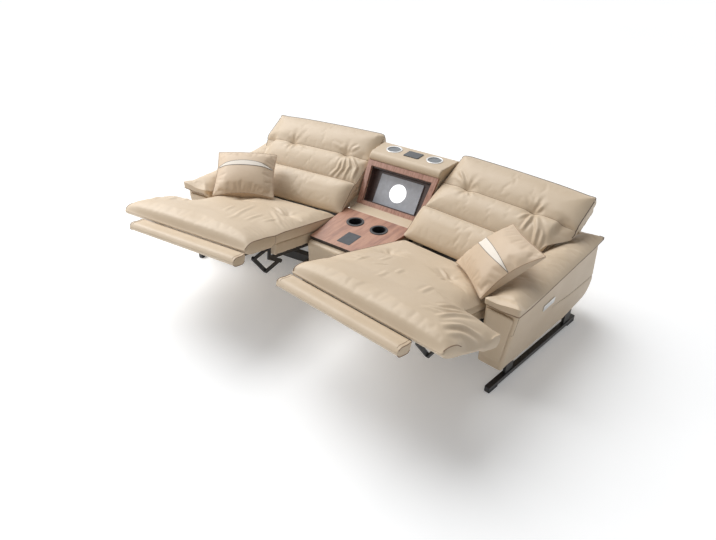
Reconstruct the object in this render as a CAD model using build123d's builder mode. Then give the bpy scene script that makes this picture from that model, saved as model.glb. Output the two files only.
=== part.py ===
from build123d import *
from math import atan2, cos, degrees, hypot, radians, sin, tan
import os

# Two reclining seats with a console between them, each seat turned outwards by the wedge angle.
# Sizes are in millimetres and degrees. Lengths across a seat run outwards from the middle line (u),
# lengths along it run backwards from the table's front edge (v), and heights are above the floor.
WEDGE_ANGLE = 6.0
ORIGIN_BACK = 112.86
FLOOR_GAP = 115.0

# Seat pad: its rim line slopes up towards the front
PAD_TILT = 16.0
PAD_HEIGHT = 488.0
SEAT_INNER = 226.0
SEAT_OUTER = 974.0
SEAT_REAR = -372.0
SEAT_FRONT = 306.0
SEAT_THICK = 57.0
SEAT_CROWN = 32.0
SEAT_TUFT_AT = (400.0, 770.0)
EAR_REAR = 182.0
EAR_OUTER = 1186.0
LEG_REAR = 312.0
LEG_FRONT = 566.0
LEG_INNER = 222.0
LEG_THICK = 70.0
FOOT_REAR = 580.0
FOOT_LIP = 560.0
FOOT_FRONT = 668.0
FOOT_INNER = 218.0
FOOT_OUTER = 978.0

# Back rest: measured down the slope from its top edge
BACK_SLOPE = 26.5
BACK_TOP_V = 980.0
BACK_TOP_Z = 725.0
BACK_INNER = 205.0
BACK_WING = 1096.0
BACK_LOW = -50.0
BACK_SEAM = 243.0
BACK_TUFT_AT = (395.0, 836.0)
BACK_END = 450.0
SHELL_REAR = -100.0
LUMBAR_TOP = 458.0
LUMBAR_END = 684.0

# Steel parts: four layers of plate beside each other, repeated on the seat's other side
MID_U = 600.0
PLATE = 8.0
LAYER_STEP = 8.8
CARRIAGE_LAYER = 240.0
BAR_WIDTH = 24.0
PIN_RADIUS = 6.0
PIN_PLAY = 0.05
OPEN_PIVOT_PLAY = 1.5
SEAT_PIVOT = (-310.0, -145.0)
LEG_PIVOT = (318.0, -86.0)
REAR_LINK_PIVOT = (195.0, -190.0)
FRONT_LINK_PIVOT = (437.0, -125.0)
FOOT_PIVOT = (558.0, -102.0)
BACK_PIVOT_V = 400.0
BACK_PIVOT_Z = 372.0
RAIL_Z = 190.0
RAIL_TOP = 224.0

# Arms
ARM_INNER = 1004.0
ARM_OUTER = 1190.0
ARM_FOOT_PULL = 47.0
ARM_FOOT_END = 640.0
ARM_REAR = 990.0
ARM_TOP = 505.0

# Console
CONSOLE_SIDE = 216.0
TOWER_SIDE = 196.0
CONSOLE_FRONT = -42.0
CONSOLE_REAR = 945.0
TABLE_LOW = 385.0
TABLE_TOP = 407.0
TABLE_REAR = 430.0
CUP_AT = (91.0, 301.0)
CUP_RADIUS = 46.0
CUP_DEPTH = 62.0
FACE_FOOT = (530.0, 400.0)
FACE_LENGTH = 309.0
FACE_SLOPE = 55.5
FRAME_BORDER = 37.0
FRAME_THICK = 20.0
NICHE_DEPTH = 50.0
TOWER_TOP = 702.0
SPEAKER_AT = (157.0, 846.0)
SPEAKER_RADIUS = 48.0

WEDGE = radians(WEDGE_ANGLE)
OUT = Vector(cos(WEDGE), -sin(WEDGE), 0)
REAR = Vector(sin(WEDGE), cos(WEDGE), 0)
UP = Vector(0, 0, 1)
TILT = radians(PAD_TILT)
PAD_FORWARD = REAR * -cos(TILT) + UP * sin(TILT)
PAD_NORMAL = REAR * sin(TILT) + UP * cos(TILT)
SLOPE = radians(BACK_SLOPE)
BACK_DOWN = REAR * -cos(SLOPE) - UP * sin(SLOPE)
BACK_NORMAL = REAR * -sin(SLOPE) + UP * cos(SLOPE)


def place(u, v, z):
    return Vector(0, -ORIGIN_BACK, 0) + OUT * u + REAR * v + UP * z


def side_plane(u):
    """Upright plane along the right seat: local axes are v and height."""
    return Plane(place(u, 0, 0), x_dir=REAR, z_dir=OUT)


def plan_plane(z):
    """Level plane: local axes are u and v."""
    return Plane(place(0, 0, z), x_dir=OUT, z_dir=UP)


def front_plane(v):
    """Upright plane across the right seat: local axes are u and height."""
    return Plane(place(0, v, 0), x_dir=OUT, z_dir=-REAR)


def pad_point(u, s, n):
    return place(u, 0, PAD_HEIGHT) + PAD_FORWARD * s + PAD_NORMAL * n


def pad_section(s):
    """Plane across the seat pad: local axes are u and the height above the rim line."""
    return Plane(pad_point(0, s, 0), x_dir=OUT, z_dir=PAD_FORWARD)


def pad_side(u):
    """Plane along the seat pad: local axes run forward and up from the rim line."""
    return Plane(pad_point(u, 0, 0), x_dir=PAD_FORWARD, z_dir=-OUT)


def back_point(u, d, m):
    return place(u, BACK_TOP_V, BACK_TOP_Z) + BACK_DOWN * d + BACK_NORMAL * m


def back_section(d):
    """Plane across the back rest: local axes are u and the height above the rim line."""
    return Plane(back_point(0, d, 0), x_dir=OUT, z_dir=BACK_DOWN)


def back_side(u):
    """Plane along the back rest: local axes run down the slope and up from the rim line."""
    return Plane(back_point(u, 0, 0), x_dir=BACK_DOWN, z_dir=-OUT)


def back_face(m):
    """Plane parallel to the back rest: local axes are u and minus the way down the slope."""
    return Plane(back_point(0, 0, m), x_dir=OUT, z_dir=BACK_NORMAL)


def back_local(v, z):
    """Way down the slope and height above the rim line of a point given by v and z."""
    step_v = v - BACK_TOP_V
    step_z = z - BACK_TOP_Z
    return (-step_v * cos(SLOPE) - step_z * sin(SLOPE), -step_v * sin(SLOPE) + step_z * cos(SLOPE))


def console_half(side, y):
    """Half the console's width at a distance y behind the table's front edge."""
    return side / cos(WEDGE) + y * tan(WEDGE)


def cushion_outline(left, right, low, rim, heights, inset, knots=()):
    """Padded section: flat below, sides drawn in at top and bottom, top arcs through the knots."""
    waist = (low + rim) / 2
    ends = [(left + inset, rim), *knots, (right - inset, rim)]
    Line((left + inset, low), (right - inset, low))
    ThreePointArc((right - inset, low), (right, waist), (right - inset, rim))
    for start, end, height in reversed(list(zip(ends, ends[1:], heights))):
        ThreePointArc(end, ((start[0] + end[0]) / 2, height), start)
    ThreePointArc((left + inset, rim), (left, waist), (left + inset, low))


def tufted(left, right, low, rim, crown, dip, tufts):
    """Section whose crown is drawn down at two tufts; a dip of 0 leaves the crown whole."""
    rise = crown - rim
    knots = [(u, rim + 0.9 * rise - dip) for u in tufts]
    shoulder = rim + 0.62 * rise
    return (left, right, low, rim, (shoulder, crown, shoulder), 14, knots)


def cushion(sections):
    """Closed pad through a row of plane and outline pairs."""
    with BuildPart() as pad:
        for plane, outline in sections:
            with BuildSketch(plane):
                with BuildLine():
                    cushion_outline(*outline)
                make_face()
        loft()
    return pad.part


def flat_bar(plane, points, width, thick, holes=(), pins=()):
    """Plate of round-ended bars through points, with round holes and pins that stand off its face."""
    with BuildPart() as bar:
        with BuildSketch(plane):
            for start, end in zip(points, points[1:]):
                run = (end[0] - start[0], end[1] - start[1])
                with Locations(((start[0] + end[0]) / 2, (start[1] + end[1]) / 2)):
                    SlotCenterToCenter(hypot(*run), width, rotation=degrees(atan2(run[1], run[0])))
            for spot, radius in holes:
                with Locations(spot):
                    Circle(radius, mode=Mode.SUBTRACT)
        extrude(amount=-thick)
        for spot, radius, reach in pins:
            with BuildSketch(plane):
                with Locations(spot):
                    Circle(radius)
            extrude(amount=-thick - reach)
    return bar.part


def both_layers(part):
    """A plate on the seat's inner side, and its twin on the outer side."""
    with BuildPart() as pair:
        add(part)
        mirror(part, about=side_plane(MID_U))
    return pair.part


def layer(index):
    return CARRIAGE_LAYER + index * LAYER_STEP


def write(part, name):
    part.label = name
    export_step(part, f"parts/{name}.step")


def write_pair(part, name):
    """The right piece as built, and the left one as its mirror image."""
    with BuildPart() as left:
        mirror(part, about=Plane.YZ)
    write(part, f"right_{name}")
    write(left.part, f"left_{name}")


os.makedirs("parts", exist_ok=True)

# Seat cushion: tufted pad between console and arm, with an ear in front of the arm
SEAT_LOW = -SEAT_THICK
seat_pad = cushion([
    (pad_section(s), tufted(SEAT_INNER + pull, SEAT_OUTER - pull, SEAT_LOW, rim, crown, dip, SEAT_TUFT_AT))
    for s, pull, rim, crown, dip in (
        (SEAT_REAR, 18, -42, -32, 0),
        (SEAT_REAR + 32, 4, -20, -4, 0),
        (-180, 0, 0, SEAT_CROWN - 4, 0),
        (-5, 0, 0, SEAT_CROWN, 16),
        (150, 0, 0, SEAT_CROWN, 0),
        (SEAT_FRONT, 0, 0, SEAT_CROWN - 4, 0),
    )
])
EAR_SECTIONS = (
    (940, 4, -48, 2),
    (1010, 2, -66, 6),
    (1100, 0, -86, 2),
    (1158, 2, -90, -10),
    (EAR_OUTER, 12, -78, -34),
)
with BuildPart() as ear:
    for u, pull, low, top in EAR_SECTIONS:
        rear = EAR_REAR + pull
        middle = (SEAT_FRONT + rear) / 2
        with BuildSketch(pad_side(u)):
            with BuildLine():
                Polyline((rear + 12, low), (SEAT_FRONT, low), (SEAT_FRONT, top))
                ThreePointArc((SEAT_FRONT, top), (middle, top + 7), (rear + 12, top - 4))
                ThreePointArc((rear + 12, top - 4), (rear, (low + top) / 2), (rear + 12, low))
            make_face()
    loft()
with BuildPart() as seat_cushion:
    add(seat_pad)
    add(ear.part)
write_pair(seat_cushion.part, "seat_cushion")

# Seat platform: upholstered box under the pad
PLATFORM_REAR = -340.0
PLATFORM_FRONT = 290.0
PLATFORM_LOW = -130.0
PLATFORM_TOP = -61.0
with BuildPart() as seat_platform:
    with BuildSketch(pad_side(SEAT_OUTER - 3)):
        with BuildLine():
            Polyline(
                (PLATFORM_REAR, PLATFORM_LOW),
                (PLATFORM_FRONT, PLATFORM_LOW),
                (PLATFORM_FRONT, PLATFORM_TOP),
                (PLATFORM_REAR, PLATFORM_TOP),
                close=True,
            )
        make_face()
    extrude(amount=SEAT_OUTER - SEAT_INNER - 6)
    lower_edges = seat_platform.edges().filter_by(lambda edge: edge.length > 600).sort_by(Axis.Z)[:2]
    fillet(lower_edges, 14)
write_pair(seat_platform.part, "seat_platform")

# Seat side plates: carry the platform, the leg rest and the rear links
seat_plate = flat_bar(
    pad_side(layer(1)),
    (SEAT_PIVOT, (312, -146), LEG_PIVOT, (312, -145), REAR_LINK_PIVOT),
    BAR_WIDTH,
    PLATE,
    holes=[(SEAT_PIVOT, PIN_RADIUS + PIN_PLAY)],
    pins=[(LEG_PIVOT, PIN_RADIUS, PLATE + 0.8), (REAR_LINK_PIVOT, PIN_RADIUS, PLATE + 0.8)],
)
write_pair(both_layers(seat_plate), "seat_side_plates")

# Leg rest: wide cushion, thin board and two hinge brackets
leg_pad = cushion([
    (pad_section(s), (LEG_INNER + pull, outer, low, rim, (crown,), 14))
    for s, pull, outer, low, rim, crown in (
        (LEG_REAR, 0, EAR_OUTER, -LEG_THICK, -8, 24),
        (400, 0, 1166, -LEG_THICK, -8, 24),
        (500, 0, 1142, -LEG_THICK, -12, 16),
        (546, 3, 1130, -LEG_THICK + 2, -20, 2),
        (LEG_FRONT, 14, 1114, -LEG_THICK + 10, -38, -26),
    )
])
write_pair(leg_pad, "legrest_cushion")

BOARD_LOW = -87.0
BOARD_TOP = -76.0
bracket = flat_bar(
    pad_side(layer(2)),
    (LEG_PIVOT, FRONT_LINK_PIVOT),
    BAR_WIDTH - 4,
    PLATE,
    holes=[(LEG_PIVOT, PIN_RADIUS + PIN_PLAY)],
    pins=[(FRONT_LINK_PIVOT, PIN_RADIUS, PLATE + 0.8)],
)
foot_lug = flat_bar(
    pad_side(MID_U - 290),
    ((520, -96), FOOT_PIVOT),
    BAR_WIDTH - 4,
    PLATE,
    pins=[(FOOT_PIVOT, PIN_RADIUS, PLATE + 0.8)],
)
with BuildPart() as legrest_frame:
    add(both_layers(bracket))
    add(both_layers(foot_lug))
    with BuildSketch(pad_side(SEAT_OUTER - 34)):
        with BuildLine():
            Polyline((358, BOARD_LOW), (546, BOARD_LOW), (546, BOARD_TOP), (358, BOARD_TOP), close=True)
        make_face()
    extrude(amount=SEAT_OUTER - SEAT_INNER - 68)
write_pair(legrest_frame.part, "legrest_frame")

# Links between the seat plates and the leg rest
REACH = (FRONT_LINK_PIVOT[0] - LEG_PIVOT[0], FRONT_LINK_PIVOT[1] - LEG_PIVOT[1])
LINK_JOINT = (REAR_LINK_PIVOT[0] + REACH[0], REAR_LINK_PIVOT[1] + REACH[1])
rear_link = flat_bar(
    pad_side(layer(2)),
    (REAR_LINK_PIVOT, LINK_JOINT),
    BAR_WIDTH,
    PLATE,
    holes=[(REAR_LINK_PIVOT, PIN_RADIUS + PIN_PLAY)],
    pins=[(LINK_JOINT, PIN_RADIUS, PLATE + 0.8)],
)
write_pair(both_layers(rear_link), "rear_links")
front_link = flat_bar(
    pad_side(layer(3)),
    (FRONT_LINK_PIVOT, LINK_JOINT),
    BAR_WIDTH,
    PLATE,
    holes=[(FRONT_LINK_PIVOT, PIN_RADIUS + PIN_PLAY), (LINK_JOINT, PIN_RADIUS + OPEN_PIVOT_PLAY)],
)
write_pair(both_layers(front_link), "front_links")

# Foot rest: slim padded panel on two hinge lugs
foot_hinge = flat_bar(
    pad_side(MID_U - 290 + LAYER_STEP),
    (FOOT_PIVOT, (FOOT_REAR + 22, -92)),
    BAR_WIDTH - 4,
    PLATE,
    holes=[(FOOT_PIVOT, PIN_RADIUS + PIN_PLAY)],
)
with BuildPart() as footrest_panel:
    with BuildSketch(pad_side(FOOT_OUTER)):
        with BuildLine():
            Polyline(
                (FOOT_FRONT - 22, -106),
                (FOOT_REAR, -106),
                (FOOT_REAR, -86),
                (FOOT_LIP, -80),
                (FOOT_LIP, -70),
                (FOOT_REAR + 4, -61),
            )
            ThreePointArc((FOOT_REAR + 4, -61), (618, -53), (FOOT_FRONT - 22, -58))
            ThreePointArc((FOOT_FRONT - 22, -58), (FOOT_FRONT, -82), (FOOT_FRONT - 22, -106))
        make_face()
    extrude(amount=FOOT_OUTER - FOOT_INNER)
    add(both_layers(foot_hinge))
write_pair(footrest_panel.part, "footrest_panel")

# Seat carriage: side plates with a runner on the rail, cross tubes, a dust pan and the push rod
ROD_Z = 207.0
ROD_RADIUS = 11.0
ROD_FRONT_V = 200.0
ROD_REAR_V = 585.0
TUBE_RADIUS = 11.0
REAR_TUBE = (500.0, 252.0)
PAN_FRONT_V = 338.0
PAN_REAR_V = 640.0
seat_pivot_v = -SEAT_PIVOT[0] * cos(TILT) + SEAT_PIVOT[1] * sin(TILT)
seat_pivot_z = PAD_HEIGHT + SEAT_PIVOT[0] * sin(TILT) + SEAT_PIVOT[1] * cos(TILT)
with BuildPart() as carriage_plate:
    with BuildSketch(side_plane(CARRIAGE_LAYER)):
        for start, end in (
            ((-10, 213), (520, 213)),
            ((seat_pivot_v, 213), (seat_pivot_v, seat_pivot_z)),
            ((BACK_PIVOT_V, 213), (BACK_PIVOT_V, BACK_PIVOT_Z)),
            ((REAR_TUBE[0], 213), REAR_TUBE),
        ):
            run = (end[0] - start[0], end[1] - start[1])
            with Locations(((start[0] + end[0]) / 2, (start[1] + end[1]) / 2)):
                SlotCenterToCenter(hypot(*run), 26, rotation=degrees(atan2(run[1], run[0])))
    extrude(amount=PLATE)
    for spot in ((seat_pivot_v, seat_pivot_z), (BACK_PIVOT_V, BACK_PIVOT_Z)):
        with BuildSketch(side_plane(CARRIAGE_LAYER)):
            with Locations(spot):
                Circle(PIN_RADIUS)
        extrude(amount=2 * PLATE + 0.8)
    with BuildSketch(side_plane(CONSOLE_SIDE + 3)):
        with Locations((240, RAIL_TOP + 4.5)):
            Rectangle(460, 8)
    extrude(amount=CARRIAGE_LAYER - CONSOLE_SIDE - 3)
with BuildPart() as seat_carriage:
    add(both_layers(carriage_plate.part))
    for spot in ((ROD_FRONT_V, ROD_Z), REAR_TUBE):
        with BuildSketch(side_plane(CARRIAGE_LAYER + PLATE + 0.2)):
            with Locations(spot):
                Circle(TUBE_RADIUS)
        extrude(amount=2 * (MID_U - CARRIAGE_LAYER - PLATE - 0.2))
    with BuildSketch(front_plane(ROD_REAR_V)):
        with Locations((MID_U, ROD_Z)):
            Circle(ROD_RADIUS)
    extrude(amount=ROD_REAR_V - ROD_FRONT_V)
    with BuildSketch(plan_plane(REAR_TUBE[1] + TUBE_RADIUS + 0.2)):
        with Locations((MID_U, (PAN_FRONT_V + PAN_REAR_V) / 2)):
            Rectangle(2 * (MID_U - CARRIAGE_LAYER - PLATE - 0.2), PAN_REAR_V - PAN_FRONT_V)
    extrude(amount=4)
write_pair(seat_carriage.part, "seat_carriage")

# Back rest drive: flat gear motor on the outer carriage plate
OUTER_PLATE = 2 * MID_U - CARRIAGE_LAYER
with BuildPart() as back_drive:
    with BuildSketch(side_plane(OUTER_PLATE + 0.3)):
        with Locations((BACK_PIVOT_V, BACK_PIVOT_Z)):
            Circle(36)
        with Locations((BACK_PIVOT_V - 2, BACK_PIVOT_Z - 55)):
            Rectangle(44, 80)
    extrude(amount=30)
    outer_rim = back_drive.faces().sort_by(Axis.X)[-1].edges()
    fillet(outer_rim, 4)
write_pair(back_drive.part, "back_drive")

# Back cushion: crowned, with a sewn channel, two tufts and a wing over the arm
back_pad = cushion([
    (back_section(d), tufted(inner, outer, BACK_LOW, rim, crown, dip, BACK_TUFT_AT))
    for d, inner, outer, rim, crown, dip in (
        (3, BACK_INNER + 8, BACK_WING - 8, -14, -2, 0),
        (30, BACK_INNER + 1, BACK_WING - 1, -4, 22, 0),
        (105, BACK_INNER, BACK_WING, 0, 44, 0),
        (185, BACK_INNER, BACK_WING - 4, 0, 46, 0),
        (BACK_SEAM, BACK_INNER, BACK_WING - 46, 0, 28, 18),
        (305, BACK_INNER, 1000, 0, 47, 0),
        (385, BACK_INNER, 986, 0, 42, 0),
        (BACK_END, BACK_INNER + 6, 980, -8, 22, 0),
    )
])
write_pair(back_pad, "back_cushion")

# Lumbar cushion: long pillow on the lower back rest
lumbar = cushion([
    (back_side(u), (LUMBAR_TOP + pull, LUMBAR_END - pull, BACK_LOW + 1, rim, (crown,), 16))
    for u, pull, rim, crown in (
        (220, 30, -26, -8),
        (238, 20, -12, 26),
        (264, 9, -8, 36),
        (330, 2, -6, 44),
        (420, 1, -6, 46),
        (780, 1, -6, 46),
        (860, 2, -6, 44),
        (926, 9, -8, 36),
        (944, 20, -12, 26),
        (960, 30, -26, -8),
    )
])
write_pair(lumbar, "lumbar_cushion")

# Back frame: two side arms on the recline pivots and three cross tubes
back_pivot = back_local(BACK_PIVOT_V, BACK_PIVOT_Z)
back_arm = flat_bar(
    back_side(layer(1)),
    (back_pivot, (610, -70), (180, -70)),
    BAR_WIDTH - 4,
    PLATE,
    holes=[(back_pivot, PIN_RADIUS + PIN_PLAY)],
)
with BuildPart() as back_frame:
    add(both_layers(back_arm))
    for d in (200, 400, 590):
        with BuildSketch(back_side(layer(1) + PLATE + 0.2)):
            with Locations((d, -70)):
                Circle(9)
        extrude(amount=-2 * (MID_U - layer(1) - PLATE - 0.2))
write_pair(back_frame.part, "back_frame")

# Back shell: leather tray behind the cushions
SHELL_RIM = BACK_LOW - 1
SHELL_OUTLINE = (
    (BACK_INNER + 1, -6),
    (BACK_INNER + 1, -460),
    (CONSOLE_SIDE + 10, -500),
    (CONSOLE_SIDE + 10, -655),
    (956, -655),
    (956, -622),
    (SEAT_OUTER, -596),
    (984, -285),
    (BACK_WING - 2, -195),
    (BACK_WING - 2, -6),
)
with BuildPart() as back_shell:
    with BuildSketch(back_face(SHELL_REAR)):
        with BuildLine():
            Polyline(*SHELL_OUTLINE, close=True)
        make_face()
        fillet(vertices().group_by(Axis.Y)[-1], 22)
    extrude(amount=SHELL_RIM - SHELL_REAR)
    with BuildSketch(back_face(SHELL_RIM)):
        with BuildLine():
            Polyline((242, -24), (242, -700), (958, -700), (958, -24), close=True)
        make_face()
    extrude(amount=-(SHELL_RIM - SHELL_REAR - 9), mode=Mode.SUBTRACT)
write_pair(back_shell.part, "back_shell")

# Throw pillows: square, thin at the seams, flatter on the side that lies on the seat
PILLOW_UNDER = -34.0
PILLOW_OVER = 76.0
PILLOW_STATIONS = (
    (-1, 0.1, 0),
    (-0.93, 0.3, 4),
    (-0.62, 0.78, 11),
    (0, 1, 14),
    (0.62, 0.78, 11),
    (0.93, 0.3, 4),
    (1, 0.1, 0),
)


def throw_pillow(centre, across, along, wide, tall):
    """Pillow whose lower seam runs across and whose sides run along, both given in u, v and height."""
    width = (OUT * across[0] + REAR * across[1] + UP * across[2]).normalized()
    height = OUT * along[0] + REAR * along[1] + UP * along[2]
    normal = width.cross(height).normalized()
    upward = normal.cross(width).normalized()
    with BuildPart() as pillow:
        for part_way, swell, pull in PILLOW_STATIONS:
            foot = place(*centre) + upward * (part_way * tall / 2)
            half = wide / 2 - pull
            with BuildSketch(Plane(foot, x_dir=width, z_dir=-upward)):
                with BuildLine():
                    Line((half, -4), (half, 4))
                    ThreePointArc((half, 4), (0, 4 + PILLOW_OVER * swell), (-half, 4))
                    Line((-half, 4), (-half, -4))
                    ThreePointArc((-half, -4), (0, -4 + PILLOW_UNDER * swell), (half, -4))
                make_face()
        loft()
    return pillow.part


right_pillow = throw_pillow((919, 238, 595), (0.312, -0.256, 0.043), (0.184, 0.256, 0.206), 402, 372)
write(right_pillow, "right_throw_pillow")
left_pillow_twin = throw_pillow((865, 229, 580), (0.334, -0.215, 0.029), (0.184, 0.307, 0.156), 398, 386)
with BuildPart() as left_pillow:
    mirror(left_pillow_twin, about=Plane.YZ)
write(left_pillow.part, "left_throw_pillow")

# Arm body: upholstered box whose outer face leans in towards the floor, most at the front
with BuildPart() as arm_body:
    with BuildSketch(side_plane(ARM_INNER)):
        with BuildLine():
            Polyline(
                (895, FLOOR_GAP),
                (ARM_FOOT_END, FLOOR_GAP),
                (ARM_FOOT_END, ARM_TOP),
                (935, ARM_TOP),
                (ARM_REAR, 232),
            )
            TangentArc((895, FLOOR_GAP), (ARM_REAR, 232), tangent=(1, 0))
        make_face()
    extrude(amount=ARM_OUTER - ARM_INNER)
    for v, pull in ((ARM_FOOT_END, 0), (0, ARM_FOOT_PULL)):
        with BuildSketch(front_plane(v)):
            with BuildLine():
                Polyline(
                    (ARM_INNER, FLOOR_GAP),
                    (ARM_OUTER - pull, FLOOR_GAP),
                    (ARM_OUTER, ARM_TOP),
                    (ARM_INNER, ARM_TOP),
                    close=True,
                )
            make_face()
    loft()
    front_edges = arm_body.faces().sort_by(Axis.Y)[0].edges()
    fillet(front_edges, 10)
write_pair(arm_body.part, "arm_body")

# Arm pad: pillow top, narrower at the rear where the back rest passes
arm_pad = cushion([
    (front_plane(v), (inner, outer, ARM_TOP + 1, rim, (crown,), 10))
    for v, inner, outer, rim, crown in (
        (-20, 1022, 1178, 526, 540),
        (6, 1001, 1196, 532, 560),
        (160, 1000, 1199, 530, 566),
        (480, 1003, 1200, 526, 560),
        (700, 1022, 1201, 525, 546),
        (880, 1032, 1200, 523, 538),
        (955, 1042, 1186, 518, 526),
    )
])
write_pair(arm_pad, "arm_pad")

# Arm front panels: thin padded inserts on the arms' front faces
with BuildPart() as arm_front_panels:
    with BuildSketch(front_plane(-0.5)):
        with BuildLine():
            Polyline((1018, 180), (1018, 480), (1168, 480), (1134, 180), close=True)
        make_face()
        fillet(vertices(), 14)
    extrude(amount=13)
    fillet(arm_front_panels.faces().sort_by(Axis.Y)[0].edges(), 5)
    mirror(about=Plane.YZ)
write(arm_front_panels.part, "arm_front_panels")

# Sled legs: floor bar and two posts under each arm, turned outwards to follow the arm's foot
SLED_FRONT = (1117.0, -62.0)
SLED_TURN = radians(4.45)
SLED_LENGTH = 880.0
GLIDE = 8.0
BAR_TOP = 36.0
POST_AT = (185.0, 785.0)


def sled_plane(z):
    """Level plane with its origin at the bar's front end and its second axis along the bar."""
    across = OUT * cos(SLED_TURN) - REAR * sin(SLED_TURN)
    return Plane(place(*SLED_FRONT, z), x_dir=across, z_dir=UP)


with BuildPart() as sled_legs:
    with BuildSketch(sled_plane(GLIDE)):
        with Locations((0, SLED_LENGTH / 2)):
            RectangleRounded(30, SLED_LENGTH, 4)
    extrude(amount=BAR_TOP - GLIDE)
    with BuildSketch(sled_plane(BAR_TOP + 0.2)):
        with Locations(*[(0, along) for along in POST_AT]):
            RectangleRounded(18, 70, 3)
    extrude(amount=FLOOR_GAP - BAR_TOP - 0.4)
    mirror(about=Plane.YZ)
write(sled_legs.part, "sled_legs")

LEG_SPOTS = ((110.0, 90.0), (170.0, 860.0))
LEG_RADIUS = 22.0
with BuildPart() as console_legs:
    with BuildSketch(Plane.XY.offset(GLIDE)):
        with Locations(*[(x, y - ORIGIN_BACK) for x, y in LEG_SPOTS]):
            Circle(LEG_RADIUS)
    extrude(amount=FLOOR_GAP - GLIDE - 0.2)
    mirror(about=Plane.YZ)
write(console_legs.part, "console_legs")

with BuildPart() as floor_glides:
    with BuildSketch(sled_plane(0)):
        with Locations((0, 42), (0, SLED_LENGTH - 42)):
            RectangleRounded(34, 80, 5)
    extrude(amount=GLIDE - 0.1)
    with BuildSketch(Plane.XY):
        with Locations(*[(x, y - ORIGIN_BACK) for x, y in LEG_SPOTS]):
            Circle(LEG_RADIUS - 3)
    extrude(amount=GLIDE - 0.1)
    mirror(about=Plane.YZ)
write(floor_glides.part, "floor_glides")

# Base frame: two cross beams under each seat, with the slide rails on top
BEAM_AT = (120.0, 720.0)
with BuildPart() as base_frame:
    with BuildSketch(plan_plane(RAIL_Z - 60)):
        with Locations(*[((CONSOLE_SIDE + ARM_INNER) / 2, v) for v in BEAM_AT]):
            Rectangle(ARM_INNER - CONSOLE_SIDE - 1, 44)
    extrude(amount=59.8)
    mirror(about=Plane.YZ)
write(base_frame.part, "base_frame")

RAIL_WIDE = CARRIAGE_LAYER - CONSOLE_SIDE - 4
with BuildPart() as slide_rails:
    with BuildSketch(plan_plane(RAIL_Z)):
        with Locations((CONSOLE_SIDE + 3 + RAIL_WIDE / 2, 370)):
            Rectangle(RAIL_WIDE, 760)
        with Locations((2 * MID_U - CONSOLE_SIDE - 3 - RAIL_WIDE / 2, 370)):
            Rectangle(RAIL_WIDE, 760)
    extrude(amount=RAIL_TOP - RAIL_Z)
    mirror(about=Plane.YZ)
write(slide_rails.part, "slide_rails")

# Recline motors: gearbox, motor can and guide tube behind each push rod
TUBE_FRONT_V = 400.0
GEARBOX_V = 640.0
with BuildPart() as recline_motors:
    with BuildSketch(front_plane(GEARBOX_V)):
        with Locations((MID_U, ROD_Z)):
            Circle(18)
    extrude(amount=GEARBOX_V - TUBE_FRONT_V)
    with BuildSketch(front_plane(GEARBOX_V)):
        with Locations((MID_U, ROD_Z)):
            Circle(ROD_RADIUS + PIN_PLAY)
    extrude(amount=GEARBOX_V - TUBE_FRONT_V, mode=Mode.SUBTRACT)
    with BuildSketch(front_plane(GEARBOX_V + 150)):
        with Locations((MID_U, ROD_Z + 5)):
            RectangleRounded(60, 44, 6)
    extrude(amount=150)
    with BuildSketch(front_plane(GEARBOX_V + 150)):
        with Locations((MID_U, ROD_Z)):
            Circle(ROD_RADIUS + PIN_PLAY)
    extrude(amount=150, mode=Mode.SUBTRACT)
    with BuildSketch(side_plane(MID_U + 29)):
        with Locations((GEARBOX_V + 50, ROD_Z + 5)):
            Circle(21)
    extrude(amount=120)
    mirror(about=Plane.YZ)
write(recline_motors.part, "recline_motors")

# Rear panels: close the seat bays from behind
with BuildPart() as rear_panels:
    with BuildSketch(front_plane(940)):
        with Locations(((CONSOLE_SIDE + ARM_INNER) / 2, 295)):
            RectangleRounded(ARM_INNER - CONSOLE_SIDE - 2, 350, 8)
    extrude(amount=18)
    mirror(about=Plane.YZ)
write(rear_panels.part, "rear_panels")

# Switch plates on the arms' outer faces, each with two push buttons
SWITCH_V = 362.0
SWITCH_Z = 374.0
foot_share = (ARM_FOOT_END - SWITCH_V) / ARM_FOOT_END
drop_share = (ARM_TOP - SWITCH_Z) / (ARM_TOP - FLOOR_GAP)
switch_u = ARM_OUTER - ARM_FOOT_PULL * foot_share * drop_share
lean_v = ARM_FOOT_PULL * drop_share / ARM_FOOT_END
lean_z = ARM_FOOT_PULL * foot_share / (ARM_TOP - FLOOR_GAP)
SWITCH_FACE = Plane(
    place(switch_u, SWITCH_V, SWITCH_Z),
    x_dir=REAR + OUT * lean_v,
    z_dir=OUT - REAR * lean_v - UP * lean_z,
).offset(0.5)
BUTTON_RADIUS = 7.0
BUTTON_AT = 20.0
with BuildPart() as switch_plates:
    with BuildSketch(SWITCH_FACE):
        RectangleRounded(120, 36, 5)
        with Locations((-BUTTON_AT, 0), (BUTTON_AT, 0)):
            Circle(BUTTON_RADIUS + 0.4, mode=Mode.SUBTRACT)
    extrude(amount=6)
    fillet(switch_plates.faces().sort_by(Axis.X)[-1].outer_wire().edges(), 1.5)
    mirror(about=Plane.YZ)
write(switch_plates.part, "switch_plates")

for name, spot in (("recline_button", -BUTTON_AT), ("return_button", BUTTON_AT)):
    with BuildPart() as button:
        with BuildSketch(SWITCH_FACE.offset(2.2)):
            with Locations((spot, 0)):
                Circle(BUTTON_RADIUS)
        extrude(amount=6.3)
        fillet(button.faces().sort_by(Axis.X)[-1].edges(), 1.2)
    write_pair(button.part, name)


def console_plan(side, front, rear, z):
    """Level plane and the four corners of a console outline between two distances."""
    wide_front = console_half(side, front)
    wide_rear = console_half(side, rear)
    corners = ((-wide_front, front), (wide_front, front), (wide_rear, rear), (-wide_rear, rear))
    return Plane.XY.offset(z), [(x, y - ORIGIN_BACK) for x, y in corners]


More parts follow.
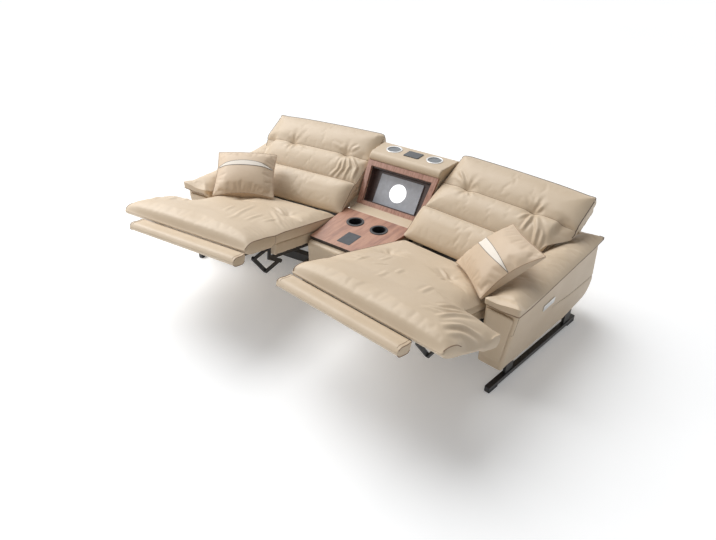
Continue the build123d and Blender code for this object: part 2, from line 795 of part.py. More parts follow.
# Console body: upholstered box with wells for the cup holders
body_plane, body_corners = console_plan(CONSOLE_SIDE, CONSOLE_FRONT, CONSOLE_REAR, FLOOR_GAP)
CUPS = [(x, CUP_AT[1] - ORIGIN_BACK) for x in (-CUP_AT[0], CUP_AT[0])]
with BuildPart() as console_body:
    with BuildSketch(body_plane):
        with BuildLine():
            Polyline(*body_corners, close=True)
        make_face()
    extrude(amount=TABLE_LOW - FLOOR_GAP - 0.3)
    fillet(console_body.edges().filter_by(Axis.Z).sort_by(Axis.Y)[:2], 26)
    fillet(console_body.faces().sort_by(Axis.Y)[0].edges().sort_by(Axis.Z)[-1], 16)
    with BuildSketch(Plane.XY.offset(TABLE_LOW)):
        with Locations(*CUPS):
            Circle(CUP_RADIUS + 4)
    extrude(amount=-CUP_DEPTH, mode=Mode.SUBTRACT)
write(console_body.part, "console_body")

# Table top: walnut board with two cup holes and a seat for the charging pad
PAD_SIZE = (95.0, 130.0)
PAD_AT = (0.0, 112.0 - ORIGIN_BACK)
table_plane, table_corners = console_plan(CONSOLE_SIDE - 1, 0, TABLE_REAR, TABLE_LOW)
with BuildPart() as console_table_top:
    with BuildSketch(table_plane):
        with BuildLine():
            Polyline(*table_corners, close=True)
        make_face()
        with Locations(*CUPS):
            Circle(CUP_RADIUS + 1, mode=Mode.SUBTRACT)
    extrude(amount=TABLE_TOP - TABLE_LOW)
    with BuildSketch(Plane.XY.offset(TABLE_TOP)):
        with Locations(PAD_AT):
            RectangleRounded(PAD_SIZE[0] + 0.6, PAD_SIZE[1] + 0.6, 4)
    extrude(amount=-4, mode=Mode.SUBTRACT)
write(console_table_top.part, "console_table_top")

with BuildPart() as charging_pad:
    with BuildSketch(Plane.XY.offset(TABLE_TOP - 3.8)):
        with Locations(PAD_AT):
            RectangleRounded(*PAD_SIZE, 4)
    extrude(amount=5.3)
    fillet(charging_pad.faces().sort_by(Axis.Z)[-1].edges(), 1)
write(charging_pad.part, "charging_pad")

with BuildPart() as cup_holders:
    with BuildSketch(Plane.XY.offset(TABLE_TOP + 0.2)):
        with Locations(*CUPS):
            Circle(CUP_RADIUS + 12)
    extrude(amount=4)
    fillet(cup_holders.faces().group_by(Axis.Z)[-1].edges(), 2)
    with BuildSketch(Plane.XY.offset(TABLE_TOP + 0.2)):
        with Locations(*CUPS):
            Circle(CUP_RADIUS)
    extrude(amount=-CUP_DEPTH + 4)
    with BuildSketch(Plane.XY.offset(TABLE_TOP + 4.2)):
        with Locations(*CUPS):
            Circle(CUP_RADIUS - 3)
    extrude(amount=-CUP_DEPTH + 3, mode=Mode.SUBTRACT)
write(cup_holders.part, "cup_holders")

# Console tower: leather box with a leaning front face, a niche and a rounded top
FACE_COS = cos(radians(FACE_SLOPE))
FACE_SIN = sin(radians(FACE_SLOPE))
FACE = Plane(
    (0, FACE_FOOT[0] - ORIGIN_BACK, FACE_FOOT[1]),
    x_dir=(1, 0, 0),
    z_dir=(0, -FACE_SIN, FACE_COS),
)


def face_point(along, depth):
    """Distance behind the table's front edge and height of a point on or behind the leaning face."""
    return (
        FACE_FOOT[0] + along * FACE_COS + depth * FACE_SIN,
        FACE_FOOT[1] + along * FACE_SIN - depth * FACE_COS,
    )


def face_corners(border):
    """Corners of an outline inside the leaning face, wider at the top as the tower is."""
    low = console_half(TOWER_SIDE, FACE_FOOT[0]) - 2 - border
    high = console_half(TOWER_SIDE, face_point(FACE_LENGTH, 0)[0]) - 2 - border
    return ((-low, border), (low, border), (high, FACE_LENGTH - border), (-high, FACE_LENGTH - border))


roll_start = face_point(FACE_LENGTH + 2, FRAME_THICK)
roll_front = face_point(FACE_LENGTH + 2, -2)
ledge = (TABLE_REAR + 1, TABLE_TOP - 3)
face_run = (ledge[1] - FACE_FOOT[1] + FRAME_THICK * FACE_COS) / FACE_SIN
face_start = face_point(face_run, FRAME_THICK)
with BuildPart() as console_tower:
    with BuildSketch(Plane.YZ.offset(-320)):
        with BuildLine():
            Polyline(
                (ledge[0] - ORIGIN_BACK, TABLE_LOW),
                (ledge[0] - ORIGIN_BACK, ledge[1]),
                (face_start[0] - ORIGIN_BACK, ledge[1]),
                (roll_start[0] - ORIGIN_BACK, roll_start[1]),
                (roll_front[0] - ORIGIN_BACK, roll_front[1]),
            )
            ThreePointArc(
                (roll_front[0] - ORIGIN_BACK, roll_front[1]),
                (roll_front[0] + 14 - ORIGIN_BACK, TOWER_TOP - 12),
                (roll_front[0] + 52 - ORIGIN_BACK, TOWER_TOP),
            )
            Line(
                (roll_front[0] + 52 - ORIGIN_BACK, TOWER_TOP),
                (CONSOLE_REAR - 22 - ORIGIN_BACK, TOWER_TOP),
            )
            ThreePointArc(
                (CONSOLE_REAR - 22 - ORIGIN_BACK, TOWER_TOP),
                (CONSOLE_REAR - 7 - ORIGIN_BACK, TOWER_TOP - 7),
                (CONSOLE_REAR - ORIGIN_BACK, TOWER_TOP - 22),
            )
            Polyline(
                (CONSOLE_REAR - ORIGIN_BACK, TOWER_TOP - 22),
                (CONSOLE_REAR - ORIGIN_BACK, TABLE_LOW),
                (ledge[0] - ORIGIN_BACK, TABLE_LOW),
            )
        make_face()
    extrude(amount=640)
    tower_plane, tower_corners = console_plan(TOWER_SIDE, TABLE_REAR, CONSOLE_REAR + 1, TABLE_LOW)
    with BuildSketch(tower_plane):
        with BuildLine():
            Polyline(*tower_corners, close=True)
        make_face()
    extrude(amount=400, mode=Mode.INTERSECT)
    with BuildSketch(FACE.offset(-FRAME_THICK)):
        with BuildLine():
            Polyline(*face_corners(FRAME_BORDER), close=True)
        make_face()
    extrude(amount=-NICHE_DEPTH, mode=Mode.SUBTRACT)
    with BuildSketch(Plane.XY.offset(TOWER_TOP)):
        with Locations(*[(x, SPEAKER_AT[1] - ORIGIN_BACK) for x in (-SPEAKER_AT[0], SPEAKER_AT[0])]):
            Circle(SPEAKER_RADIUS + 1)
    extrude(amount=-24, mode=Mode.SUBTRACT)
write(console_tower.part, "console_tower")

# Niche: walnut frame on the leaning face, dark lining, grey panel and round lamp
with BuildPart() as niche_frame:
    with BuildSketch(FACE.offset(0.3 - FRAME_THICK)):
        with BuildLine():
            Polyline(*face_corners(0), close=True)
        make_face()
        with BuildLine():
            Polyline(*face_corners(FRAME_BORDER - 2), close=True)
        make_face(mode=Mode.SUBTRACT)
    extrude(amount=FRAME_THICK - 0.3)
    split(bisect_by=Plane.XY.offset(ledge[1] + 0.3), keep=Keep.TOP)
write(niche_frame.part, "niche_frame")

LINING = 6.0
with BuildPart() as niche_lining:
    with BuildSketch(FACE.offset(-FRAME_THICK - NICHE_DEPTH + 0.4)):
        with BuildLine():
            Polyline(*face_corners(FRAME_BORDER + 0.4), close=True)
        make_face()
    extrude(amount=NICHE_DEPTH - 0.6)
    with BuildSketch(FACE.offset(-FRAME_THICK)):
        with BuildLine():
            Polyline(*face_corners(FRAME_BORDER + LINING), close=True)
        make_face()
    extrude(amount=-NICHE_DEPTH + LINING, mode=Mode.SUBTRACT)
write(niche_lining.part, "niche_lining")

SCREEN_HALF = 164.0
SCREEN_TALL = 202.0
LAMP_RADIUS = 62.0
SCREEN_MID = FACE_LENGTH / 2 - 8
screen_plane = FACE.offset(-FRAME_THICK - NICHE_DEPTH + LINING + 0.3)
with BuildPart() as niche_panel:
    with BuildSketch(screen_plane):
        with Locations((0, SCREEN_MID)):
            Rectangle(2 * SCREEN_HALF, SCREEN_TALL)
            Circle(LAMP_RADIUS + 0.5, mode=Mode.SUBTRACT)
    extrude(amount=10)
write(niche_panel.part, "niche_panel")

with BuildPart() as niche_lamp:
    with BuildSketch(screen_plane):
        with Locations((0, SCREEN_MID)):
            Circle(LAMP_RADIUS)
    extrude(amount=12)
    fillet(niche_lamp.edges().filter_by(GeomType.CIRCLE).sort_by(Axis.Z)[-1], 3)
write(niche_lamp.part, "niche_lamp")

# Tower top: two speakers and a media panel
SPEAKERS = [(x, SPEAKER_AT[1] - ORIGIN_BACK) for x in (-SPEAKER_AT[0], SPEAKER_AT[0])]
with BuildPart() as speaker_rims:
    with BuildSketch(Plane.XY.offset(TOWER_TOP + 0.3)):
        with Locations(*SPEAKERS):
            Circle(SPEAKER_RADIUS + 8)
            Circle(SPEAKER_RADIUS - 2, mode=Mode.SUBTRACT)
    extrude(amount=4)
    fillet(speaker_rims.faces().group_by(Axis.Z)[-1].edges(), 1.5)
write(speaker_rims.part, "speaker_rims")

with BuildPart() as speaker_grilles:
    with BuildSketch(Plane.XY.offset(TOWER_TOP - 23.5)):
        with Locations(*SPEAKERS):
            Circle(SPEAKER_RADIUS)
    extrude(amount=23)
write(speaker_grilles.part, "speaker_grilles")

with BuildPart() as media_panel:
    with BuildSketch(Plane.XY.offset(TOWER_TOP + 0.3)):
        with Locations((0, SPEAKER_AT[1] - 8 - ORIGIN_BACK)):
            RectangleRounded(112, 86, 5)
    extrude(amount=5)
    fillet(media_panel.faces().sort_by(Axis.Z)[-1].edges(), 1.5)
write(media_panel.part, "media_panel")
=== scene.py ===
import math

import bmesh
import bpy
import numpy as np
from mathutils import Matrix, Vector
from mathutils.bvhtree import BVHTree
from mathutils.geometry import delaunay_2d_cdt


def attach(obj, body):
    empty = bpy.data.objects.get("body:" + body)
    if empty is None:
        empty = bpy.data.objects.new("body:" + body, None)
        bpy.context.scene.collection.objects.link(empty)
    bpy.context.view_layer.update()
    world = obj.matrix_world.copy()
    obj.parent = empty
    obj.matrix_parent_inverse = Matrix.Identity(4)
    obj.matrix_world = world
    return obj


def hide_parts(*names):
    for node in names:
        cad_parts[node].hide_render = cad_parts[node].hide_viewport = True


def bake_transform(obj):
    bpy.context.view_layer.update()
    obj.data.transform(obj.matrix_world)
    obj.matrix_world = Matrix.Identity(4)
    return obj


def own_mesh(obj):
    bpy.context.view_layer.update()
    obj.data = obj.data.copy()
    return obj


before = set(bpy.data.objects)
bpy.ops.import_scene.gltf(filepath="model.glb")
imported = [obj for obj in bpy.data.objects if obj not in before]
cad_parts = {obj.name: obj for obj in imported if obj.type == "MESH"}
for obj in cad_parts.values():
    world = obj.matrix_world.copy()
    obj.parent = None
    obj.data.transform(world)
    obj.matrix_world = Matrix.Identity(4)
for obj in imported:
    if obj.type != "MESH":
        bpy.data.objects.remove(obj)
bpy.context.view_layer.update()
scene = bpy.context.scene

# Places: the right seat's own directions, in metres; the left seat is its mirror image
WEDGE = math.radians(6)
ORIGIN = Vector((0, -0.11286, 0))
OUT = Vector((math.cos(WEDGE), -math.sin(WEDGE), 0))
REAR = Vector((math.sin(WEDGE), math.cos(WEDGE), 0))
UP = Vector((0, 0, 1))
PAD_TILT = math.radians(16)
PAD_HEIGHT = 0.488
BACK_SLOPE = math.radians(26.5)
BACK_HEIGHT = 0.725
BACK_REAR = 0.98
MIRROR = Matrix.Scale(-1, 4, (1, 0, 0))
SIDES = ("right", "left")


def basis(origin, x_axis, y_axis, z_axis):
    """Matrix from a piece's own lengths to the sofa's frame."""
    turn = Matrix((x_axis, y_axis, z_axis)).transposed().to_4x4()
    return Matrix.Translation(origin) @ turn


# Each soft piece is shaped in its own lengths: x along the seat, y outwards, z off its face
PAD = basis(
    ORIGIN + UP * PAD_HEIGHT,
    REAR * -math.cos(PAD_TILT) + UP * math.sin(PAD_TILT),
    OUT,
    REAR * math.sin(PAD_TILT) + UP * math.cos(PAD_TILT),
)
BACK = basis(
    ORIGIN + REAR * BACK_REAR + UP * BACK_HEIGHT,
    REAR * -math.cos(BACK_SLOPE) - UP * math.sin(BACK_SLOPE),
    OUT,
    REAR * -math.sin(BACK_SLOPE) + UP * math.cos(BACK_SLOPE),
)
ARM = basis(ORIGIN, -REAR, OUT, UP)


# Materials
def new_material(name):
    """A material with its node tree and shader."""
    material = bpy.data.materials.new(name)
    material.use_nodes = True
    tree = material.node_tree
    return material, tree, tree.nodes["Principled BSDF"]


def set_inputs(node, **values):
    """Sets inputs by name; _ stands for a space."""
    for name, value in values.items():
        node.inputs[name.replace("_", " ")].default_value = value


def coordinates(tree, scale=(1, 1, 1)):
    """Object coordinates, stretched by scale."""
    source = tree.nodes.new("ShaderNodeTexCoord")
    mapping = tree.nodes.new("ShaderNodeMapping")
    set_inputs(mapping, Scale=scale)
    tree.links.new(source.outputs["Object"], mapping.inputs["Vector"])
    return mapping.outputs["Vector"]


def noise(tree, vector, scale, detail=3.0, roughness=0.5):
    texture = tree.nodes.new("ShaderNodeTexNoise")
    set_inputs(texture, Scale=scale, Detail=detail, Roughness=roughness)
    tree.links.new(vector, texture.inputs["Vector"])
    return texture.outputs["Fac"]


def ramp(tree, factor, *stops):
    """Colour ramp; each stop is a place and a colour."""
    node = tree.nodes.new("ShaderNodeValToRGB")
    elements = node.color_ramp.elements
    while len(elements) < len(stops):
        elements.new(0.5)
    for element, (place, colour) in zip(elements, stops):
        element.position = place
        element.color = (*colour, 1)
    tree.links.new(factor, node.inputs["Fac"])
    return node.outputs["Color"]


def spread(tree, factor, low, high):
    """Maps a texture from 0..1 to low..high."""
    node = tree.nodes.new("ShaderNodeMapRange")
    set_inputs(node, To_Min=low, To_Max=high)
    tree.links.new(factor, node.inputs["Value"])
    return node.outputs["Result"]


def bump(tree, shader, height, strength, distance, under=None):
    node = tree.nodes.new("ShaderNodeBump")
    set_inputs(node, Strength=strength, Distance=distance)
    tree.links.new(height, node.inputs["Height"])
    if under:
        tree.links.new(under, node.inputs["Normal"])
    tree.links.new(node.outputs["Normal"], shader.inputs["Normal"])
    return node.outputs["Normal"]


def leather(name, pale, deep, rough=(0.38, 0.52)):
    """Soft full-grain leather: cloudy tone, pebbled grain and a low sheen."""
    material, tree, shader = new_material(name)
    vector = coordinates(tree)
    cloud = noise(tree, vector, 5.0, 4.0, 0.6)
    tree.links.new(ramp(tree, cloud, (0.3, deep), (0.7, pale)), shader.inputs["Base Color"])
    worn = noise(tree, vector, 18.0, 3.0)
    tree.links.new(spread(tree, worn, *rough), shader.inputs["Roughness"])
    grain = tree.nodes.new("ShaderNodeTexVoronoi")
    grain.feature = "SMOOTH_F1"
    set_inputs(grain, Scale=420.0)
    tree.links.new(vector, grain.inputs["Vector"])
    pebbles = bump(tree, shader, grain.outputs["Distance"], 0.25, 0.0006)
    creases = noise(tree, vector, 60.0, 6.0, 0.65)
    bump(tree, shader, creases, 0.12, 0.002, pebbles)
    set_inputs(shader, Specular_IOR_Level=0.42, Sheen_Weight=0.10, Sheen_Roughness=0.5)
    return material


def wood(name, pale, mid, dark, across=(9.0, 1.4, 9.0)):
    """Lacquered walnut; across says how finely its grain is packed along each axis."""
    material, tree, shader = new_material(name)
    vector = coordinates(tree, across)
    bands = noise(tree, vector, 3.2, 6.0, 0.62)
    grain = ramp(tree, bands, (0.28, dark), (0.45, mid), (0.6, pale), (0.75, mid))
    tree.links.new(grain, shader.inputs["Base Color"])
    pores = noise(tree, coordinates(tree, (220, 18, 220)), 1.0, 2.0)
    tree.links.new(spread(tree, pores, 0.3, 0.46), shader.inputs["Roughness"])
    bump(tree, shader, pores, 0.12, 0.0006)
    set_inputs(shader, Coat_Weight=0.25, Coat_Roughness=0.22)
    return material


def plastic(name, colour, rough=(0.4, 0.55), grain=900.0, depth=0.1):
    """Moulded plastic or powder coat with a fine stipple."""
    material, tree, shader = new_material(name)
    vector = coordinates(tree)
    tone = noise(tree, vector, 30.0, 2.0)
    lighter = tuple(min(1.0, c * 1.18 + 0.004) for c in colour)
    tree.links.new(ramp(tree, tone, (0.35, colour), (0.7, lighter)), shader.inputs["Base Color"])
    stipple = noise(tree, vector, grain, 2.0)
    tree.links.new(spread(tree, stipple, *rough), shader.inputs["Roughness"])
    bump(tree, shader, stipple, depth, 0.0004)
    return material


def metal(name, colour):
    """Brushed metal."""
    material, tree, shader = new_material(name)
    lines = noise(tree, coordinates(tree, (8, 600, 600)), 1.0, 3.0)
    lighter = tuple(min(1.0, c * 1.12) for c in colour)
    tree.links.new(ramp(tree, lines, (0.3, colour), (0.7, lighter)), shader.inputs["Base Color"])
    tree.links.new(spread(tree, lines, 0.22, 0.36), shader.inputs["Roughness"])
    bump(tree, shader, lines, 0.06, 0.0003)
    set_inputs(shader, Metallic=1.0)
    return material


def glow(name, colour, strength):
    """Lit diffuser with a faint cloud in it."""
    material, tree, shader = new_material(name)
    cloud = noise(tree, coordinates(tree), 8.0, 2.0)
    dim = tuple(c * 0.97 for c in colour)
    tree.links.new(ramp(tree, cloud, (0.2, dim), (0.8, colour)), shader.inputs["Base Color"])
    set_inputs(shader, Emission_Color=(*colour, 1), Emission_Strength=strength, Roughness=0.4)
    return material


def mesh_grille(name, dark, light):
    """Perforated speaker cover: round holes in a fine grid."""
    material, tree, shader = new_material(name)
    holes = tree.nodes.new("ShaderNodeTexVoronoi")
    set_inputs(holes, Scale=260.0, Randomness=0.0)
    tree.links.new(coordinates(tree), holes.inputs["Vector"])
    gap = holes.outputs["Distance"]
    tree.links.new(ramp(tree, gap, (0.28, dark), (0.42, light)), shader.inputs["Base Color"])
    bump(tree, shader, gap, 0.4, 0.001)
    set_inputs(shader, Roughness=0.45, Metallic=0.3)
    return material


HIDE = leather("hide", (0.645, 0.52, 0.38), (0.595, 0.47, 0.33))
# Painted shade: the seam leather is darker than the hide, so the thin seam lines stand for the shade in their
# grooves.
SHADED_SEAM = leather("hide_seam", (0.36, 0.25, 0.16), (0.31, 0.21, 0.13))
# Painted shade: the piping leather is darker than the hide and stands for the shadow along and under the
# piping cord.
SHADED_PIPING = leather("hide_piping", (0.25, 0.165, 0.10), (0.21, 0.135, 0.08))
# Painted shade: the dark piping is near black for the deep shadow under the piping along the back cushion's
# edges and at the arm pad's rear tip.
DARK_SHADED_PIPING = leather("hide_dark_piping", (0.10, 0.068, 0.047), (0.08, 0.053, 0.036))
PILLOW_HIDE = leather("pillow_hide", (0.64, 0.50, 0.36), (0.585, 0.445, 0.31))
# Painted shade: the pillow piping is darker than the pillow leather and stands for the shade along the edge
# seam.
SHADED_PILLOW_PIPING = leather("painted_shade_pillow_piping", (0.42, 0.29, 0.19), (0.36, 0.245, 0.155))
BAND_EDGE = leather("band_edge", (0.16, 0.14, 0.125), (0.13, 0.11, 0.10))
BAND = leather("pillow_band", (0.86, 0.80, 0.72), (0.80, 0.73, 0.64), (0.5, 0.7))
WALNUT = wood("walnut", (0.47, 0.245, 0.16), (0.36, 0.17, 0.11), (0.2, 0.085, 0.055))
WALNUT_FRAME = wood(
    "walnut_frame", (0.54, 0.31, 0.235), (0.43, 0.225, 0.165), (0.27, 0.13, 0.09), (30.0, 5.0, 5.0)
)
NICHE_WOOD = wood(
    "niche_wood", (0.075, 0.035, 0.025), (0.05, 0.022, 0.016), (0.028, 0.012, 0.009), (5.0, 9.0, 30.0)
)
BLACK_STEEL = plastic("black_powder_coat", (0.012, 0.012, 0.013), (0.3, 0.45))
BLACK_PLASTIC = plastic("black_plastic", (0.016, 0.016, 0.018), (0.32, 0.5))
SLATE = plastic("slate_glass", (0.045, 0.05, 0.058), (0.16, 0.24), 300.0, 0.03)
GREY_PANEL = plastic("grey_panel", (0.42, 0.44, 0.48), (0.35, 0.5))
# Painted shadow: near black for the shadow gap between the table top and the leather body below it.
TABLE_EDGE_SHADOW = plastic("painted_shadow_table_edge", (0.035, 0.026, 0.022), (0.3, 0.45))
BRIGHT = metal("bright_metal", (0.66, 0.66, 0.66))
GRILLE = mesh_grille("speaker_grille", (0.03, 0.034, 0.04), (0.16, 0.17, 0.18))
LAMP = glow("lamp_diffuser", (1.0, 1.0, 1.0), 1.1)


# Mesh helpers
def add_object(name, data):
    obj = bpy.data.objects.new(name, data)
    scene.collection.objects.link(obj)
    return obj


def mesh_object(name, vertices, faces):
    mesh = bpy.data.meshes.new(name)
    mesh.from_pydata([tuple(v) for v in vertices], [], faces)
    mesh.update()
    return add_object(name, mesh)


def points_of(obj, field="co"):
    values = np.empty(len(obj.data.vertices) * 3, np.float32)
    obj.data.vertices.foreach_get(field, values)
    return values.reshape(-1, 3).astype(float)


def normals_of(obj):
    return points_of(obj, "normal")


def set_points(obj, points):
    obj.data.vertices.foreach_set("co", np.asarray(points, np.float32).ravel())
    obj.data.update()


def made_mesh(obj):
    graph = bpy.context.evaluated_depsgraph_get()
    return bpy.data.meshes.new_from_object(obj.evaluated_get(graph))


def bake(obj):
    """Puts what the modifiers make into the mesh."""
    made = made_mesh(obj)
    old = obj.data
    obj.modifiers.clear()
    obj.data = made
    bpy.data.meshes.remove(old)


def remesh(obj, voxel):
    modifier = obj.modifiers.new("remesh", "REMESH")
    modifier.mode = "VOXEL"
    modifier.voxel_size = voxel
    bake(obj)


def relax(obj, times):
    modifier = obj.modifiers.new("relax", "SMOOTH")
    modifier.iterations = times
    modifier.factor = 0.5
    bake(obj)


def refine(obj):
    modifier = obj.modifiers.new("refine", "SUBSURF")
    modifier.levels = 1
    modifier.render_levels = 1
    bake(obj)


def ease(value, low, high):
    """0 below low, 1 above high, smooth between."""
    t = np.clip((value - low) / (high - low), 0, 1)
    return t * t * (3 - 2 * t)


def rounded(corners, step=0.008):
    """Closed outline of corners (x, y, cut), each rounded from a cut's length before it to one after."""
    outline = []
    count = len(corners)
    for i in range(count):
        x, y, cut = corners[i]
        here = np.array((x, y))
        back = np.array(corners[i - 1][:2]) - here
        ahead = np.array(corners[(i + 1) % count][:2]) - here
        start = here + back / np.linalg.norm(back) * cut
        end = here + ahead / np.linalg.norm(ahead) * cut
        parts = max(1, round(1.6 * cut / step))
        for k in range(parts + 1):
            way = k / parts
            outline.append((1 - way) ** 2 * start + 2 * way * (1 - way) * here + way**2 * end)
    return np.array(outline)


def path_distance(places, path, closed=False):
    """Distance of each (x, y) place from a path of points, and how far along it the nearest point is."""
    path = np.asarray(path, float)
    ends = np.vstack((path[1:], path[:1])) if closed else path[1:]
    starts = path if closed else path[:-1]
    best = np.full(len(places), 1e9)
    along = np.zeros(len(places))
    run = 0.0
    for a, b in zip(starts, ends):
        step = b - a
        length = np.linalg.norm(step)
        if length < 1e-9:
            continue
        t = np.clip(((places - a) @ step) / length**2, 0, 1)
        gap = np.linalg.norm(places - (a + t[:, None] * step), axis=1)
        nearer = gap < best
        best[nearer] = gap[nearer]
        along[nearer] = run + t[nearer] * length
        run += length
    return best, along


def spaced(outline, step):
    """Outline that runs anticlockwise with a point about every step, its corners kept."""
    outline = np.asarray(outline, float)
    after = np.roll(outline, -1, axis=0)
    if np.sum(outline[:, 0] * after[:, 1] - outline[:, 1] * after[:, 0]) < 0:
        outline = outline[::-1]
    made = []
    for a, b in zip(outline, np.roll(outline, -1, axis=0)):
        count = max(1, round(np.linalg.norm(b - a) / step))
        made += [a + (b - a) * k / count for k in range(count)]
    return np.array(made)


def inside(places, outline):
    """Which (x, y) places lie within a closed outline."""
    x, y = places.T
    within = np.zeros(len(places), bool)
    for a, b in zip(outline, np.roll(outline, -1, axis=0)):
        if a[1] != b[1]:
            at = a[0] + (y - a[1]) * (b[0] - a[0]) / (b[1] - a[1])
            within ^= ((a[1] > y) != (b[1] > y)) & (x < at)
    return within


def panel(outline, step):
    """Flat mesh within an outline: its points, those of the outline first, and its faces."""
    low = outline.min(axis=0)
    high = outline.max(axis=0)
    columns = np.meshgrid(np.arange(low[0], high[0], step), np.arange(low[1], high[1], step))
    grid = np.stack(columns, axis=-1).reshape(-1, 2)
    gap, _ = path_distance(grid, outline, closed=True)
    grid = grid[inside(grid, outline) & (gap > 0.6 * step)]
    points = np.vstack((outline, grid))
    found = delaunay_2d_cdt([Vector(p) for p in points], [], [list(range(len(outline)))], 1, 1e-6)
    return points, [tuple(found[3][i][0] for i in face) for face in found[2]]


class Cover:
    """Sewn cover: a top and a bottom panel over one outline, with a boxing strip between their edges.

    top and bottom give a height for each place, from the place and its distance to the outline.
    """

    def __init__(self, name, outline, step, top, bottom, rows=3, bulge=0.004, hard=None):
        self.outline = spaced(outline, step)
        self.rim = len(self.outline)
        self.flat, faces = panel(self.outline, step)
        self.count = len(self.flat)
        self.edge, _ = path_distance(self.flat, self.outline, closed=True)
        over = top(self.flat, self.edge)
        under = bottom(self.flat, self.edge)
        ahead = np.roll(self.outline, -1, axis=0) - np.roll(self.outline, 1, axis=0)
        outward = np.column_stack((ahead[:, 1], -ahead[:, 0]))
        outward /= np.linalg.norm(outward, axis=1, keepdims=True)
        vertices = [np.column_stack((self.flat, over)), np.column_stack((self.flat, under))]
        loops = [np.arange(self.rim)]
        for k in range(1, rows):
            way = k / rows
            height = over[: self.rim] * (1 - way) + under[: self.rim] * way
            strip = self.outline + outward * bulge * math.sin(math.pi * way)
            vertices.append(np.column_stack((strip, height)))
            loops.append(np.arange(self.rim) + 2 * self.count + (k - 1) * self.rim)
        loops.append(np.arange(self.rim) + self.count)
        made = list(faces) + [tuple(self.count + i for i in reversed(face)) for face in faces]
        for upper, lower in zip(loops, loops[1:]):
            ring = zip(upper, lower, np.roll(lower, -1), np.roll(upper, -1))
            made += [tuple(int(i) for i in four) for four in ring]
        self.obj = mesh_object(name, np.vstack(vertices), made)
        self.join_quads(2 * len(faces))
        self.mark_seams(loops[0], loops[-1], hard)

    def join_quads(self, panel_faces):
        work = bmesh.new()
        work.from_mesh(self.obj.data)
        work.faces.ensure_lookup_table()
        bmesh.ops.join_triangles(
            work, faces=work.faces[:panel_faces], angle_face_threshold=1.2, angle_shape_threshold=1.2
        )
        work.to_mesh(self.obj.data)
        work.free()

    def mark_seams(self, upper, lower, hard):
        """Keeps both edges of the boxing strip sharp, or as sharp as hard says for each place."""
        mesh = self.obj.data
        ends = np.empty(len(mesh.edges) * 2, np.int32)
        mesh.edges.foreach_get("vertices", ends)
        ends = np.sort(ends.reshape(-1, 2), axis=1)
        crease = np.zeros(len(ends), np.float32)
        for loop in (upper, lower):
            local = ends - loop[0]
            within = (local >= 0).all(axis=1) & (local < self.rim).all(axis=1)
            step = local[:, 1] - local[:, 0]
            along = within & ((step == 1) | (step == self.rim - 1))
            crease[along] = 1 if hard is None else hard(self.outline[local[along, 0]])
        mesh.attributes.new("crease_edge", "FLOAT", "EDGE").data.foreach_set("value", crease)
        mesh.attributes.new("sharp_edge", "BOOLEAN", "EDGE").data.foreach_set("value", crease > 0.5)
        upper_share = np.zeros(len(mesh.vertices), np.float32)
        upper_share[: self.count] = 1
        mesh.attributes.new("upper", "FLOAT", "POINT").data.foreach_set("value", upper_share)

    def upper(self):
        """1 on the top panel, 0 on the strip and the bottom panel."""
        values = np.empty(len(self.obj.data.vertices), np.float32)
        self.obj.data.attributes["upper"].data.foreach_get("value", values)
        return ease(values, 0.4, 0.9)

    def hold(self, margin):
        """Where the cover is sewn down: everywhere but inside the top panel."""
        held = np.ones(len(self.obj.data.vertices))
        held[: self.count] = 1 - ease(self.edge, 0.003, margin)
        return held

    def seam(self, keep, bottom=False):
        """Runs of points along the top or bottom seam where keep holds for the place."""
        kept = keep(self.outline)
        if kept.all():
            order = [*range(self.rim), 0]
        else:
            start = int(np.nonzero(~kept)[0][0])
            order = [(start + i) % self.rim for i in range(self.rim)]
        points = points_of(self.obj)
        runs = [[]]
        for i in order:
            if kept[i]:
                runs[-1].append(points[i + (self.count if bottom else 0)])
            elif runs[-1]:
                runs.append([])
        return [run for run in runs if len(run) > 2]


def node_copy(name, node):
    """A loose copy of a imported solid's mesh."""
    obj = add_object(name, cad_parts[node].data.copy())
    obj.data.materials.clear()
    return obj


CLOTH_PRESSURE = 2.4
CLOTH_FRAMES = 20


def stuff(obj, hold, cap, slack):
    """Swells a skin by air pressure, by cap at most.

    hold keeps a point in place, from 0 to 1; slack is the share of spare leather.
    """
    before = points_of(obj)
    group = obj.vertex_groups.new(name="hold")
    levels = np.round(np.clip(hold, 0, 1), 1)
    for level in np.unique(levels):
        if level > 0:
            group.add([int(i) for i in np.nonzero(levels == level)[0]], float(level), "REPLACE")
    modifier = obj.modifiers.new("skin", "CLOTH")
    settings = modifier.settings
    settings.quality = 4
    settings.mass = 0.4
    settings.tension_stiffness = 25
    settings.compression_stiffness = 25
    settings.shear_stiffness = 12
    settings.bending_stiffness = 0.8
    settings.use_pressure = True
    settings.uniform_pressure_force = CLOTH_PRESSURE
    settings.vertex_group_mass = "hold"
    settings.shrink_min = -slack
    settings.effector_weights.gravity = 0
    modifier.point_cache.frame_start = 1
    modifier.point_cache.frame_end = CLOTH_FRAMES
    for number in range(1, CLOTH_FRAMES + 1):
        scene.frame_set(number)
    bake(obj)
    move = points_of(obj) - before
    length = np.linalg.norm(move, axis=1, keepdims=True)
    set_points(obj, before + move * np.minimum(1, cap / np.maximum(length, 1e-9)))
    scene.frame_set(1)


def press(obj, depth):
    """Moves each point in along its normal by a depth given per point."""
    set_points(obj, points_of(obj) - normals_of(obj) * np.asarray(depth)[:, None])


def tuft_depth(places, centre, depth, radius, folds, turn):
    """Button tuft: a deep dip with small folds that fan out from it."""
    offset = places - np.array(centre)
    r = np.linalg.norm(offset, axis=1)
    angle = np.arctan2(offset[:, 1], offset[:, 0])
    dip = depth * (0.62 * np.exp(-((r / radius) ** 2)) + 0.38 * np.exp(-((r / (0.4 * radius)) ** 2)))
    ring = np.exp(-(((r - radius) / (0.8 * radius)) ** 2))
    fan = np.cos(folds * angle + turn + 0.8 * np.sin(2 * angle)) * ring
    return dip + 0.13 * depth * fan * np.minimum(1, r / (0.5 * radius))


